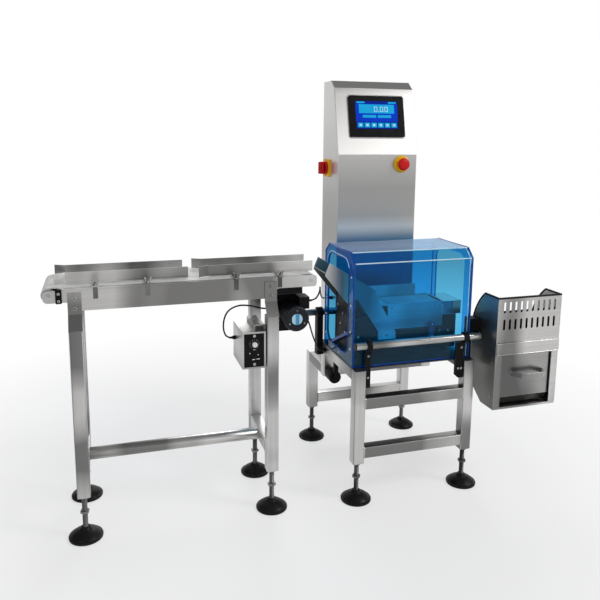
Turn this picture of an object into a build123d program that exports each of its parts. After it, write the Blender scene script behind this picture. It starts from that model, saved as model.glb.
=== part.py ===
"""Checkweigher: infeed conveyor, weighing station under a hood, control column and reject bin."""
import os
from math import atan2, cos, degrees, hypot, pi, radians, tan

from build123d import *

os.makedirs("parts", exist_ok=True)

# Machine coordinates are in millimetres: x runs with the product, y runs away from the operator, z is
# up from the floor, and zero is the outer corner of the weighing frame's front left leg.

# Square tube and general sheet metal
tube = 38.0
sheet = 2.0
plate = 3.0
contact_gap = 0.3
shaft_fit = 0.05
lane_y = 165.75

# Weighing frame
frame_width = 429.0
frame_depth = 512.0
frame_foot_z = 132.0
deck_z = 448.0
shelf_z = 361.0
low_bar_z = 149.0
mid_bar_z = 317.0
step_y = 340.0
deck_front_y = 22.0

# Levelling feet
pad_radius = 50.0
pad_rim = 7.0
pad_height = 35.0
pad_neck = 13.0
stem_radius = 8.0
stem_seat_z = 16.0
stem_grip = 34.0
nut_flats = 24.0
nut_height = 9.0
nut_z = 78.0

# Black base, load cell and weighing conveyor
base_left_x = 20.0
base_right_x = 412.0
base_half_width = 57.8
base_foot_z = 465.0
base_floor_z = 500.0
base_skirt_z = 540.0
base_right_top_z = 582.0
base_left_top_z = 590.0
base_foot_radius = 12.0
weigh_left_x = 155.0
weigh_right_x = 360.0
weigh_half_width = 57.0
weigh_bottom_z = 544.0
weigh_top_z = 631.0
weigh_belt_z = 629.0
weigh_chamfer = 27.0
weigh_roller_radius = 12.0
weigh_belt_thickness = 1.5
weigh_shaft_radius = 4.0
weigh_side_clearance = 4.0
cell_length = 130.0
cell_width = 40.0
cell_pad = 3.0
cell_hole = 9.0
rear_guide_z = 670.0
rear_guide_left_x = 134.0
rear_guide_right_x = 310.0
outfeed_left_x = 363.0
outfeed_right_x = 430.0
outfeed_flange = 47.0

# Feed chute
chute_top = (-54.0, 782.0)
chute_step = (68.0, 707.0)
chute_end_z = 683.0
chute_end_x = 109.0
chute_arm_right_x = 185.0
chute_arm_left_x = 121.0
chute_arm_bottom_z = 512.0
chute_floor_start = (-67.0, 750.0)
chute_slope = 31.3
chute_floor_turn_x = 129.0
chute_gap = 0.8
chute_lip_gap = 1.5
chute_gusset = (10.0, 644.0)
support_web_x = 14.0
support_foot_z = 475.0
support_end_x = 100.0

# Hood
hood_width = 420.0
hood_front_y = 28.0
hood_rear_y = 300.0
hood_bevel_z = 791.0
hood_front_bevel_y = 61.0
hood_rear_bevel_y = 262.0
hood_top_z = 822.0
hood_wall = 5.0
hood_opening_front_y = 75.0
hood_opening_rear_y = 268.0
hood_opening_low_z = 480.0
hood_opening_high_z = 792.0
hood_opening_radius = 38.0
deck_thickness = 3.0

# Round pipes and their clamps
pipe_radius = 12.5
pipe_wall = 1.5
front_pipe_y = 5.0
front_pipe_z = 530.0
front_pipe_left_x = 1.0
front_pipe_right_x = 443.0
rear_pipe_y = 330.0
rear_pipe_z = 559.0
rear_pipe_left_x = -84.0
rear_pipe_right_x = 470.0
cap_thickness = 3.0
clamp_radius = 18.0
clamp_slit = 2.5
bracket_front_y = 10.0
bracket_back_y = 18.0
bracket_low_z = 388.0
left_bracket_width = 18.0
right_bracket_width = 30.0
ring_width = 15.0
rear_bar_thickness = 22.0
rear_bar_width = 28.0
rear_bar_low_z = 403.0

# Control column
column_left_x = 58.0
column_right_x = 363.0
column_front_y = 349.0
column_bend_z = 1119.0
column_slope_top = (400.0, 1352.0)
column_top = (435.0, 1380.0)
column_sheet = 2.0
bezel_width = 212.0
bezel_height = 149.0
bezel_thickness = 7.0
bezel_from_left = 48.0
bezel_from_bend = 27.0
screen_width = 162.0
screen_height = 100.0
screen_thickness = 1.5
screen_up = 5.0
estop_x = 302.0
estop_z = 1085.0
estop_collar_radius = 31.0
estop_collar_depth = 9.0
estop_head_radius = 22.5
estop_head_depth = 18.0
estop_neck_radius = 12.0
estop_travel = 4.0
isolator_y = 462.0
isolator_z = 1068.0
isolator_side = 64.0
isolator_thickness = 5.0
isolator_disc_radius = 24.0
isolator_disc_depth = 9.0
isolator_grip_length = 46.0
isolator_grip_width = 12.0
isolator_grip_depth = 20.0

# Reject bin
bin_left_x = 467.0
bin_right_x = 706.0
bin_front_y = -60.0
bin_rear_y = 89.0
bin_top_z = 668.0
bin_mouth_y = 20.0
bin_mouth_mid = (66.0, 612.0)
bin_mouth_low_z = 510.0
bin_bottom_z = 291.0
bin_chamfer_z = 347.0
bin_chamfer_y = 14.0
bin_sheet = 2.0
bin_header_high_z = 519.0
bin_header_low_z = 479.0
bin_header_proud = 4.0
bin_strip = 24.0
bin_sill = 7.0
bin_runner = 14.0
slot_count = 10
slot_pitch = 21.1
slot_width = 8.0
low_slot_z = (564.0, 600.0)
high_slot_z = (620.0, 658.0)
edging_width = 5.0
edging_height = 6.0
edging_seat = 1.0
drawer_recess = 8.0
drawer_clearance = 0.5
drawer_top_z = 477.0
drawer_fold_z = 330.0
drawer_fold_depth = 22.0
drawer_sheet = 1.5
handle_left_x = 533.0
handle_right_x = 660.0
handle_low_z = 401.0
handle_high_z = 417.0
handle_proud = 34.0
handle_slant = 22.0
handle_sheet = 3.0
bin_bracket_y = (38.0, 76.0)
bin_bracket_sheet = 6.0
bin_bracket_low_z = 412.0
bin_bracket_z = (520.0, 580.0)

# Infeed conveyor
infeed_left_x = -872.0
infeed_right_x = -112.0
infeed_half_width = 104.75
infeed_top_z = 757.0
infeed_deep_z = 691.0
infeed_shallow_z = 721.0
infeed_deep_left_x = -850.0
infeed_deep_right_x = -245.0
infeed_bend_radius = 18.0
infeed_end_radius = 10.0
infeed_lip = 14.0
infeed_belt_z = 759.7
infeed_belt_thickness = 2.5
infeed_belt_half_width = 93.0
infeed_roller_radius = 18.0
infeed_shaft_radius = 6.0
infeed_drive_x = -132.0
infeed_tail_x = -902.0
bed_flange = 26.0
bed_belt_clearance = 5.0
tail_bracket_left_x = -918.0
tail_bracket_right_x = -800.0
tail_bracket_low_z = 716.0
tail_bracket_high_z = 752.0
tail_slot_length = 60.0
tail_slot_width = 9.0
clamp_left_x = -883.0
clamp_right_x = -866.0
clamp_depth = 7.0

# Infeed stands
stand_foot_z = 133.5
stand_top_z = 640.0
stand_left_x = -852.0
stand_right_x = -280.0
stand_front_y = 28.6
stand_rail_z = 186.0
strap_bend_z = 682.0
strap_top_z = 745.0
cross_tube_radius = 19.0

# Side guides and their clips
guide_low_z = 762.0
guide_high_z = 794.0
guide_half_gap = 55.75
guide_flare = 30.0
guide_lip = 6.0
guide_travel = 12.0
front_guides = ((-858.0, -506.0), (-446.0, -112.0))
rear_guides = ((-863.0, -510.0), (-449.0, -106.0))
front_clips = ((-775.0, -629.0), (-368.0, -232.0))
rear_clips = ((-780.0, -634.0), (-368.0, -232.0))
clip_width = 14.0
clip_low_z = 724.0
clip_reach = 18.0
stud_radius = 2.5
stud_height = 17.0
arm_slot_clearance = 0.4
wing_hub_radius = 6.0
wing_hub_height = 6.0
wing_span = 11.0

# Infeed drive
motor_x = -188.0
motor_z = 630.0
motor_front_y = 20.0
motor_plate_y = 130.0
motor_plate_thickness = 6.0
motor_radius = 36.0
motor_cap_radius = 39.0
motor_cap_length = 16.0
motor_plate_left_x = -240.0
motor_plate_right_x = -158.0
motor_plate_low_z = 562.0
motor_bridge_z = 700.0
motor_tab_top_z = 745.0
motor_tab_sheet = 4.0
gearbox_side = 84.0
gearbox_length = 54.0
gearbox_boss = 10.0
output_shaft_radius = 7.0
output_bore_depth = 18.0
terminal_box_x = (-168.0, -136.0)
terminal_box_y = (60.0, 112.0)
terminal_box_z = (650.0, 688.0)
pulley_radius = 14.0
pulley_flange = 2.6
pulley_width = 15.0
pulley_front_y = 277.0
pulley_flange_sheet = 1.0
timing_belt_thickness = 2.0
timing_belt_width = 13.0
cover_clearance = 2.0
cover_sheet = 2.0
cover_depth = 27.0

# Speed control box
box_left_x = -356.0
box_right_x = -283.0
box_front_y = 36.0
box_rear_y = 176.0
box_low_z = 479.0
box_high_z = 595.0
box_rim = 5.0
box_recess = 6.0
box_panel_sheet = 3.0
box_bracket_reach = 30.0
box_bracket_y = (62.0, 170.0)
knob_x = -318.0
knob_z = 556.0
knob_radius = 8.0
knob_depth = 11.0
knob_shaft_radius = 3.0

# Weigh belt motor under the deck
can_radius = 22.0
can_x = 19.0
can_z = 342.0
can_y = (232.0, 286.0)
hanger_width = 16.0
hanger_thickness = 8.0

# Sensor and leads
eye_x = 315.0
eye_z = 533.0
eye_height = 66.0
eye_width = 20.0
eye_depth = 15.0
cable_radius = 2.6
gland_radius = 6.0
gland_length = 9.0
screw_radius = 5.0
screw_height = 3.0

# The part's own origin is under the middle of its bounding box, on the floor.
part_left_x = infeed_tail_x - infeed_roller_radius - contact_gap - infeed_belt_thickness
drawer_front_y = bin_front_y + drawer_recess
part_front_y = drawer_front_y - handle_proud
part_rear_y = frame_depth - tube / 2 + pad_radius
origin_x = -(part_left_x + bin_right_x) / 2
origin_y = -(part_front_y + part_rear_y) / 2


def level(z):
    """Plane at height z, seen from above."""
    return Plane(origin=(origin_x, origin_y, z), x_dir=(1, 0, 0), z_dir=(0, 0, 1))


def facing(y):
    """Upright plane at depth y, seen from the operator's side; a negative extrusion goes back."""
    return Plane(origin=(origin_x, origin_y + y, 0), x_dir=(1, 0, 0), z_dir=(0, -1, 0))


def side(x):
    """Upright plane at x whose sketch axes are y and z; a positive extrusion goes right."""
    return Plane(origin=(origin_x + x, origin_y, 0), x_dir=(0, 1, 0), z_dir=(1, 0, 0))


def save(piece, name):
    """Labels a finished piece and writes it."""
    piece.part.label = name
    export_step(piece.part, f"parts/{name}.step")


def prism(plane, points, depth, mode=Mode.ADD):
    """Extrudes a straight-sided outline in the part being built."""
    with BuildSketch(plane) as outline:
        with BuildLine():
            Polyline(*points, close=True)
        make_face()
    extrude(outline.sketch, amount=depth, mode=mode)


def block(x0, x1, y0, y1, z0, z1, mode=Mode.ADD):
    """Adds or cuts a rectangular block between the given faces."""
    with BuildSketch(level(z0)) as outline:
        with Locations(((x0 + x1) / 2, (y0 + y1) / 2)):
            Rectangle(x1 - x0, y1 - y0)
    extrude(outline.sketch, amount=z1 - z0, mode=mode)


def disc(plane, centre, radius, depth, mode=Mode.ADD):
    """Adds or cuts a round bar that starts on a plane."""
    with BuildSketch(plane) as outline:
        with Locations(centre):
            Circle(radius)
    extrude(outline.sketch, amount=depth, mode=mode)


def square_tube(plane, centre, length):
    """Adds a square tube that starts on a plane."""
    with BuildSketch(plane) as outline:
        with Locations(centre):
            Rectangle(tube, tube)
    extrude(outline.sketch, amount=length)


def upright_tube(x, y, z0, z1):
    """Adds an upright tube by its lower outer corner."""
    square_tube(level(z0), (x + tube / 2, y + tube / 2), z1 - z0)


def cross_bar(y, z, x0, x1):
    """Adds a tube along x by its front lower edge."""
    square_tube(side(x0), (y + tube / 2, z + tube / 2), x1 - x0)


def depth_bar(x, z, y0, y1):
    """Adds a tube along y by its left lower edge."""
    square_tube(facing(y0), (x + tube / 2, z + tube / 2), y0 - y1)


# Weighing frame

right_leg_x = frame_width - tube
rear_leg_y = frame_depth - tube
foot_centres = [(x + tube / 2, y + tube / 2) for x in (0, right_leg_x) for y in (0, rear_leg_y)]
stand_rear_y = 2 * lane_y - stand_front_y - tube
stand_centres = [
    (x + tube / 2, y + tube / 2) for x in (stand_left_x, stand_right_x) for y in (stand_front_y, stand_rear_y)
]


def stem_holes(centres, foot_z):
    """Cuts the holes for the levelling screws into the leg ends."""
    for centre in centres:
        disc(level(foot_z), centre, stem_radius + shaft_fit, stem_grip + 2, mode=Mode.SUBTRACT)


with BuildPart() as weigh_frame_front:
    for leg_x in (0, right_leg_x):
        upright_tube(leg_x, 0, frame_foot_z, deck_z)
    for bar_z in (low_bar_z, mid_bar_z):
        cross_bar(0, bar_z, tube / 2, frame_width - tube / 2)
    stem_holes([c for c in foot_centres if c[1] < tube], frame_foot_z)
save(weigh_frame_front, "weigh_frame_front")

with BuildPart() as weigh_frame_rear:
    for leg_x in (0, right_leg_x):
        upright_tube(leg_x, rear_leg_y, frame_foot_z, shelf_z)
    for bar_z in (low_bar_z, shelf_z - tube):
        cross_bar(rear_leg_y, bar_z, tube / 2, frame_width - tube / 2)
    for rail_x in (0, right_leg_x):
        depth_bar(rail_x, deck_z - tube, tube, step_y - tube / 2)
        upright_tube(rail_x, step_y - tube, shelf_z - tube, deck_z)
        depth_bar(rail_x, shelf_z - tube, step_y - tube / 2, rear_leg_y)
    cross_bar(step_y, shelf_z - tube, tube / 2, frame_width - tube / 2)
    stem_holes([c for c in foot_centres if c[1] > tube], frame_foot_z)
save(weigh_frame_rear, "weigh_frame_rear")

with BuildPart() as deck_plate:
    block(0, frame_width, deck_front_y, step_y, deck_z, deck_z + deck_thickness)
save(deck_plate, "deck_plate")


# Levelling feet

def pad_section():
    """Outline of half a foot pad, from its axis to its rim."""
    with BuildSketch(Plane.XZ) as section:
        with BuildLine():
            Line((0, 0), (pad_radius, 0))
            Line((pad_radius, 0), (pad_radius, pad_rim))
            shoulder = ThreePointArc(
                (pad_radius, pad_rim),
                (pad_radius * 0.72, pad_rim + 11),
                (pad_neck + 5, pad_height - 8),
            )
            Line(shoulder @ 1, (pad_neck, pad_height))
            Line((pad_neck, pad_height), (0, pad_height))
            Line((0, pad_height), (0, 0))
        make_face()
    return section.sketch


with BuildPart() as one_pad:
    revolve(pad_section(), axis=Axis.Z)
    with BuildSketch(Plane.XY.offset(stem_seat_z)):
        Circle(stem_radius + shaft_fit)
    extrude(amount=pad_height, mode=Mode.SUBTRACT)

with BuildPart() as levelling_pads:
    for centre in foot_centres + stand_centres:
        with Locations((origin_x + centre[0], origin_y + centre[1], 0)):
            add(one_pad.part)
save(levelling_pads, "levelling_pads")

with BuildPart() as levelling_screws:
    for centres, foot_z in ((foot_centres, frame_foot_z), (stand_centres, stand_foot_z)):
        for centre in centres:
            disc(level(stem_seat_z), centre, stem_radius, foot_z + stem_grip - stem_seat_z)
            with BuildSketch(level(nut_z)) as hexagon:
                with Locations(centre):
                    RegularPolygon(nut_flats / 2, 6, major_radius=False)
            extrude(hexagon.sketch, amount=nut_height)
save(levelling_screws, "levelling_screws")


# Black base with the load cell in it

base_front_y = lane_y - base_half_width
base_rear_y = lane_y + base_half_width
cell_left_x = weigh_left_x + (weigh_right_x - weigh_left_x - cell_length) / 2 + 8
cell_height = weigh_bottom_z - base_floor_z - 2 * cell_pad

with BuildPart() as weigh_base:
    prism(
        facing(base_front_y),
        (
            (base_left_x, base_foot_z),
            (base_right_x, base_foot_z),
            (base_right_x, base_right_top_z),
            (outfeed_left_x, base_right_top_z),
            (outfeed_left_x, base_skirt_z),
            (chute_arm_left_x, base_skirt_z),
            (chute_arm_left_x - 25, base_left_top_z),
            (base_left_x, base_left_top_z),
        ),
        -2 * base_half_width,
    )
    block(
        cell_left_x - 12, cell_left_x + cell_length + 12, lane_y - cell_width / 2 - 8,
        lane_y + cell_width / 2 + 8, base_floor_z, base_skirt_z, mode=Mode.SUBTRACT,
    )
    for foot_x in (base_left_x + 30, base_right_x - 30):
        for foot_y in (base_front_y + 22, base_rear_y - 22):
            disc(level(deck_z + deck_thickness), (foot_x, foot_y), base_foot_radius,
                 base_foot_z - deck_z - deck_thickness)
save(weigh_base, "weigh_base")

with BuildPart() as load_cell:
    cell_low_z = base_floor_z + cell_pad
    block(cell_left_x, cell_left_x + cell_length, lane_y - cell_width / 2, lane_y + cell_width / 2,
          cell_low_z, cell_low_z + cell_height)
    block(cell_left_x, cell_left_x + cell_width, lane_y - cell_width / 2, lane_y + cell_width / 2,
          base_floor_z, cell_low_z)
    block(cell_left_x + cell_length - cell_width, cell_left_x + cell_length, lane_y - cell_width / 2,
          lane_y + cell_width / 2, cell_low_z + cell_height, weigh_bottom_z)
    middle = (cell_left_x + cell_length / 2, cell_low_z + cell_height / 2)
    with BuildSketch(facing(lane_y - cell_width / 2)) as bean:
        with Locations(middle):
            SlotCenterToCenter(cell_length * 0.3, 2 * cell_hole)
    extrude(bean.sketch, amount=-cell_width, mode=Mode.SUBTRACT)
save(load_cell, "load_cell")


# Weighing conveyor

weigh_front_y = lane_y - weigh_half_width
weigh_rear_y = lane_y + weigh_half_width
weigh_roller_z = weigh_belt_z - weigh_belt_thickness - contact_gap - weigh_roller_radius
weigh_wrap = weigh_roller_radius + contact_gap + weigh_belt_thickness
weigh_tail_x = weigh_left_x + weigh_wrap + 1.2
weigh_drive_x = weigh_right_x - weigh_wrap - 0.2
weigh_wall_top_z = weigh_roller_z - weigh_wrap - 3


def cover_outline(inset):
    """Side outline of the weighing conveyor's cover, moved inwards by a sheet."""
    turn = inset * tan(radians(22.5))
    return (
        (weigh_left_x + inset, weigh_top_z),
        (weigh_right_x - inset, weigh_top_z),
        (weigh_right_x - inset, weigh_bottom_z + inset),
        (weigh_left_x + weigh_chamfer + turn, weigh_bottom_z + inset),
        (weigh_left_x + inset, weigh_bottom_z + weigh_chamfer + turn),
    )


with BuildPart() as weigh_covers:
    prism(facing(weigh_front_y), cover_outline(0), -2 * weigh_half_width)
    prism(facing(weigh_front_y + sheet), cover_outline(sheet), -2 * (weigh_half_width - sheet),
          mode=Mode.SUBTRACT)
    block(weigh_left_x - 1, weigh_right_x + 1, weigh_front_y + sheet, weigh_rear_y - sheet,
          weigh_wall_top_z, weigh_top_z, mode=Mode.SUBTRACT)
    block(rear_guide_left_x, rear_guide_right_x, weigh_rear_y - sheet, weigh_rear_y,
          weigh_top_z, rear_guide_z)
    for roller_x in (weigh_tail_x, weigh_drive_x):
        disc(facing(weigh_front_y), (roller_x, weigh_roller_z), weigh_shaft_radius + shaft_fit,
             -2 * weigh_half_width, mode=Mode.SUBTRACT)
save(weigh_covers, "weigh_covers")


def belt_loop(plane, x0, x1, z, inner, thickness, width):
    """Adds a flat belt that runs round two rollers of one size."""
    with BuildSketch(plane) as loop:
        with Locations(((x0 + x1) / 2, z)):
            SlotCenterToCenter(x1 - x0, 2 * (inner + thickness))
            SlotCenterToCenter(x1 - x0, 2 * inner, mode=Mode.SUBTRACT)
    extrude(loop.sketch, amount=-width)


belt_front_y = weigh_front_y + sheet + weigh_side_clearance
with BuildPart() as weigh_belt:
    belt_loop(facing(belt_front_y), weigh_tail_x, weigh_drive_x, weigh_roller_z,
              weigh_roller_radius + contact_gap, weigh_belt_thickness, 2 * (lane_y - belt_front_y))
save(weigh_belt, "weigh_belt")


def roller(x, z, radius, shaft, face_front_y, face_rear_y, shaft_front_y, shaft_rear_y):
    """Adds a roller with its shaft, both along y."""
    disc(facing(face_front_y), (x, z), radius, face_front_y - face_rear_y)
    disc(facing(shaft_front_y), (x, z), shaft, shaft_front_y - shaft_rear_y)


for name, roller_x in (("weigh_tail_roller", weigh_tail_x), ("weigh_drive_roller", weigh_drive_x)):
    with BuildPart() as weigh_roller:
        roller(roller_x, weigh_roller_z, weigh_roller_radius, weigh_shaft_radius, belt_front_y - 1,
               2 * lane_y - belt_front_y + 1, weigh_front_y, weigh_rear_y)
    save(weigh_roller, name)

with BuildPart() as outfeed_plate:
    block(outfeed_left_x, outfeed_right_x, weigh_front_y, weigh_rear_y, weigh_belt_z - plate, weigh_belt_z)
    for flange_y in (weigh_front_y, weigh_rear_y - plate):
        block(outfeed_left_x, outfeed_right_x, flange_y, flange_y + plate,
              weigh_belt_z - outfeed_flange, weigh_belt_z)
    block(outfeed_left_x, base_right_x, weigh_front_y + plate, weigh_rear_y - plate,
          base_right_top_z, base_right_top_z + plate)
save(outfeed_plate, "outfeed_plate")


# Feed chute

chute_front_y = weigh_front_y - chute_gap - plate
chute_rear_y = 2 * lane_y - chute_front_y
chute_fall = tan(radians(chute_slope))
chute_lip_z = chute_floor_start[1] - chute_fall * (chute_floor_turn_x - chute_floor_start[0])
floor_drop = plate / cos(radians(chute_slope))
chute_wall = (
    chute_top,
    chute_step,
    (chute_end_x, chute_end_z),
    (chute_end_x, chute_end_z - 15),
    (chute_arm_right_x - 1, chute_arm_bottom_z + 23),
    (chute_arm_right_x, chute_arm_bottom_z),
    (chute_arm_left_x, chute_arm_bottom_z),
    (chute_arm_left_x, chute_arm_bottom_z + 29),
    (43, 657),
    chute_gusset,
    (chute_floor_start[0] - 2, chute_floor_start[1] - 9),
    chute_floor_start,
)

with BuildPart() as feed_chute:
    for wall_y in (chute_front_y, chute_rear_y - plate):
        prism(facing(wall_y), chute_wall, -plate)
    lip_end_x = weigh_tail_x - weigh_wrap - chute_lip_gap
    prism(
        facing(chute_front_y + plate),
        (
            chute_floor_start,
            (chute_floor_turn_x, chute_lip_z),
            (lip_end_x, chute_lip_z),
            (lip_end_x, chute_lip_z - plate),
            (chute_floor_turn_x - 1, chute_lip_z - plate),
            (chute_floor_start[0], chute_floor_start[1] - floor_drop),
        ),
        chute_front_y + 2 * plate - chute_rear_y,
    )
save(feed_chute, "feed_chute")


def under_floor(x):
    """Height of the underside of the chute's sloping floor."""
    start_x = chute_floor_start[0]
    run = (x - start_x) / (chute_floor_turn_x - 1 - start_x)
    start_z = chute_floor_start[1] - floor_drop
    return start_z + run * (chute_lip_z - plate - start_z)


with BuildPart() as chute_support:
    prism(
        facing(base_front_y + 4),
        (
            (support_web_x, support_foot_z),
            (base_left_x, support_foot_z),
            (base_left_x, under_floor(base_left_x) - 6),
            (support_end_x, under_floor(support_end_x) - 6),
            (support_end_x, under_floor(support_end_x)),
            (support_web_x, under_floor(support_web_x)),
        ),
        8 - 2 * base_half_width,
    )
save(chute_support, "chute_support")


# Hood

hood_low_z = deck_z + deck_thickness + contact_gap


def hood_outline(inset, low_z):
    """End outline of the hood, moved inwards by its wall."""
    turn = inset * 0.42
    return (
        (hood_front_y + inset, low_z),
        (hood_front_y + inset, hood_bevel_z - turn),
        (hood_front_bevel_y + turn, hood_top_z - inset),
        (hood_rear_bevel_y - turn, hood_top_z - inset),
        (hood_rear_y - inset, hood_bevel_z - turn),
        (hood_rear_y - inset, low_z),
    )


with BuildPart() as hood:
    prism(side(0), hood_outline(0, hood_low_z), hood_width)
    prism(side(hood_wall), hood_outline(hood_wall, hood_low_z - 1), hood_width - 2 * hood_wall,
          mode=Mode.SUBTRACT)
    with BuildSketch(side(0)) as arch:
        with Locations((
            (hood_opening_front_y + hood_opening_rear_y) / 2,
            (hood_opening_low_z + hood_opening_high_z) / 2,
        )):
            RectangleRounded(
                hood_opening_rear_y - hood_opening_front_y,
                hood_opening_high_z - hood_opening_low_z,
                hood_opening_radius,
            )
    extrude(arch.sketch, amount=hood_width, mode=Mode.SUBTRACT)
save(hood, "hood")

with BuildPart() as photo_eye:
    with BuildSketch(facing(base_front_y - eye_depth)) as capsule:
        with Locations((eye_x, eye_z)):
            SlotOverall(eye_height, eye_width, rotation=90)
    extrude(capsule.sketch, amount=-eye_depth)
    fillet(photo_eye.faces().sort_by(Axis.Y)[0].edges(), 5)
save(photo_eye, "photo_eye")


# Round pipes with caps and clamps

pipe_runs = (
    (front_pipe_y, front_pipe_z, front_pipe_left_x, front_pipe_right_x),
    (rear_pipe_y, rear_pipe_z, rear_pipe_left_x, rear_pipe_right_x),
)

with BuildPart() as pipes:
    for pipe_y, pipe_z, left_x, right_x in pipe_runs:
        disc(side(left_x), (pipe_y, pipe_z), pipe_radius, right_x - left_x)
        disc(side(left_x), (pipe_y, pipe_z), pipe_radius - pipe_wall, right_x - left_x, mode=Mode.SUBTRACT)
save(pipes, "pipes")

with BuildPart() as pipe_end_caps:
    for pipe_y, pipe_z, left_x, right_x in pipe_runs:
        for cap_x, plug_x in ((left_x - cap_thickness, left_x), (right_x, right_x - 2 * cap_thickness)):
            disc(side(cap_x), (pipe_y, pipe_z), pipe_radius, cap_thickness)
            disc(side(plug_x), (pipe_y, pipe_z), pipe_radius - pipe_wall, 2 * cap_thickness)
save(pipe_end_caps, "pipe_end_caps")


def clamp_ring(x, width, centre):
    """Adds the ring of a split clamp round a pipe."""
    disc(side(x), centre, clamp_radius, width)


def clamp_bore(x, width, centre):
    """Cuts the pipe's bore and the slit above it."""
    disc(side(x), centre, pipe_radius, width, mode=Mode.SUBTRACT)
    block(x, x + width, centre[0] - clamp_slit / 2, centre[0] + clamp_slit / 2, centre[1],
          centre[1] + clamp_radius + 1, mode=Mode.SUBTRACT)


front_pipe = (front_pipe_y, front_pipe_z)
rear_pipe = (rear_pipe_y, rear_pipe_z)
left_ring_x = tube
right_ring_x = right_leg_x - 8

with BuildPart() as pipe_brackets:
    for x0, x1, ring_x in (
        (tube, tube + left_bracket_width, left_ring_x),
        (right_leg_x - right_bracket_width, right_leg_x, right_ring_x),
    ):
        prism(
            facing(bracket_front_y),
            (
                (x0, front_pipe_z - clamp_radius),
                (x0, bracket_low_z + (x1 - x0 - left_bracket_width)),
                (x0 + (x1 - x0 - left_bracket_width) + 1, bracket_low_z),
                (x1, bracket_low_z),
                (x1, front_pipe_z - clamp_radius),
            ),
            bracket_front_y - bracket_back_y,
        )
        block(ring_x, ring_x + ring_width, bracket_front_y, bracket_back_y,
              front_pipe_z - clamp_radius - 8, front_pipe_z)
        clamp_ring(ring_x, ring_width, front_pipe)
        clamp_bore(ring_x, ring_width, front_pipe)
    for bar_x in (-rear_bar_thickness, frame_width):
        block(bar_x, bar_x + rear_bar_thickness, rear_pipe_y - rear_bar_width / 2,
              rear_pipe_y + rear_bar_width / 2, rear_bar_low_z, rear_pipe_z)
        clamp_ring(bar_x, rear_bar_thickness, rear_pipe)
        clamp_bore(bar_x, rear_bar_thickness, rear_pipe)
save(pipe_brackets, "pipe_brackets")


# Weigh belt motor that hangs under the deck

with BuildPart() as weigh_motor:
    disc(facing(can_y[0]), (can_x, can_z), can_radius, can_y[0] - can_y[1])
    fillet(weigh_motor.edges().filter_by(GeomType.CIRCLE), 3)
    with BuildSketch(facing(can_y[0] - hanger_thickness)) as hanger:
        with Locations((can_x, can_z)):
            Circle(hanger_width / 2)
        with Locations((can_x, (can_z + deck_z - tube) / 2)):
            Rectangle(hanger_width, deck_z - tube - can_z)
    extrude(hanger.sketch, amount=-hanger_thickness)
save(weigh_motor, "weigh_motor")


# Control column

slope_run = column_slope_top[0] - column_front_y
slope_rise = column_slope_top[1] - column_bend_z
slope_length = hypot(slope_run, slope_rise)


def slope_plane(x, up):
    """Plane on the column's sloping face, with its origin at x and a distance above the bend."""
    return Plane(
        origin=(
            origin_x + x,
            origin_y + column_front_y + slope_run * up / slope_length,
            column_bend_z + slope_rise * up / slope_length,
        ),
        x_dir=(1, 0, 0),
        z_dir=(0, -slope_rise, slope_run),
    )


column_outline = (
    (column_front_y, shelf_z),
    (column_front_y, column_bend_z),
    column_slope_top,
    column_top,
    (frame_depth, column_top[1]),
    (frame_depth, shelf_z),
)
column_inside = (
    (column_front_y + column_sheet, shelf_z + column_sheet),
    (column_front_y + column_sheet, column_bend_z),
    (column_slope_top[0] + column_sheet, column_slope_top[1] - 1),
    (column_top[0] + 1, column_top[1] - column_sheet),
    (frame_depth - column_sheet, column_top[1] - column_sheet),
    (frame_depth - column_sheet, shelf_z + column_sheet),
)

with BuildPart() as column_shell:
    prism(side(column_left_x), column_outline, column_right_x - column_left_x)
    prism(side(column_left_x + column_sheet), column_inside,
          column_right_x - column_left_x - 2 * column_sheet, mode=Mode.SUBTRACT)
save(column_shell, "column_shell")

bezel_x = column_left_x + bezel_from_left + bezel_width / 2
bezel_up = slope_length - bezel_from_bend - bezel_height / 2

with BuildPart() as hmi_bezel:
    with BuildSketch(slope_plane(bezel_x, bezel_up)):
        RectangleRounded(bezel_width, bezel_height, 7)
    extrude(amount=bezel_thickness)
    with BuildSketch(slope_plane(bezel_x, bezel_up).offset(bezel_thickness)):
        with Locations((0, screen_up)):
            Rectangle(screen_width, screen_height)
    extrude(amount=-screen_thickness - 1, mode=Mode.SUBTRACT)
    chamfer(hmi_bezel.edges().filter_by(GeomType.LINE).group_by(Axis.Y)[0], 1.0)
save(hmi_bezel, "hmi_bezel")

with BuildPart() as hmi_screen:
    with BuildSketch(slope_plane(bezel_x, bezel_up).offset(bezel_thickness - screen_thickness - 1)):
        with Locations((0, screen_up)):
            Rectangle(screen_width, screen_height)
    extrude(amount=screen_thickness)
save(hmi_screen, "hmi_screen")


def turned(plane, profile):
    """Adds a piece turned about the plane's axis; the profile gives radius and distance off the plane."""
    with BuildSketch(Plane(plane.origin, x_dir=plane.x_dir, z_dir=-plane.y_dir)) as half:
        with BuildLine():
            Polyline(*profile, close=True)
        make_face()
    revolve(half.sketch, axis=Axis(plane.origin, plane.z_dir))


estop_centre = Plane(
    origin=(origin_x + estop_x, origin_y + column_front_y, estop_z), x_dir=(1, 0, 0), z_dir=(0, -1, 0)
)

with BuildPart() as estop_collar:
    bore = estop_neck_radius + contact_gap
    turned(estop_centre, (
        (bore, 0),
        (estop_collar_radius, 0),
        (estop_collar_radius, 2),
        (estop_collar_radius - 6, estop_collar_depth),
        (bore, estop_collar_depth),
    ))
save(estop_collar, "estop_collar")

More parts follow.
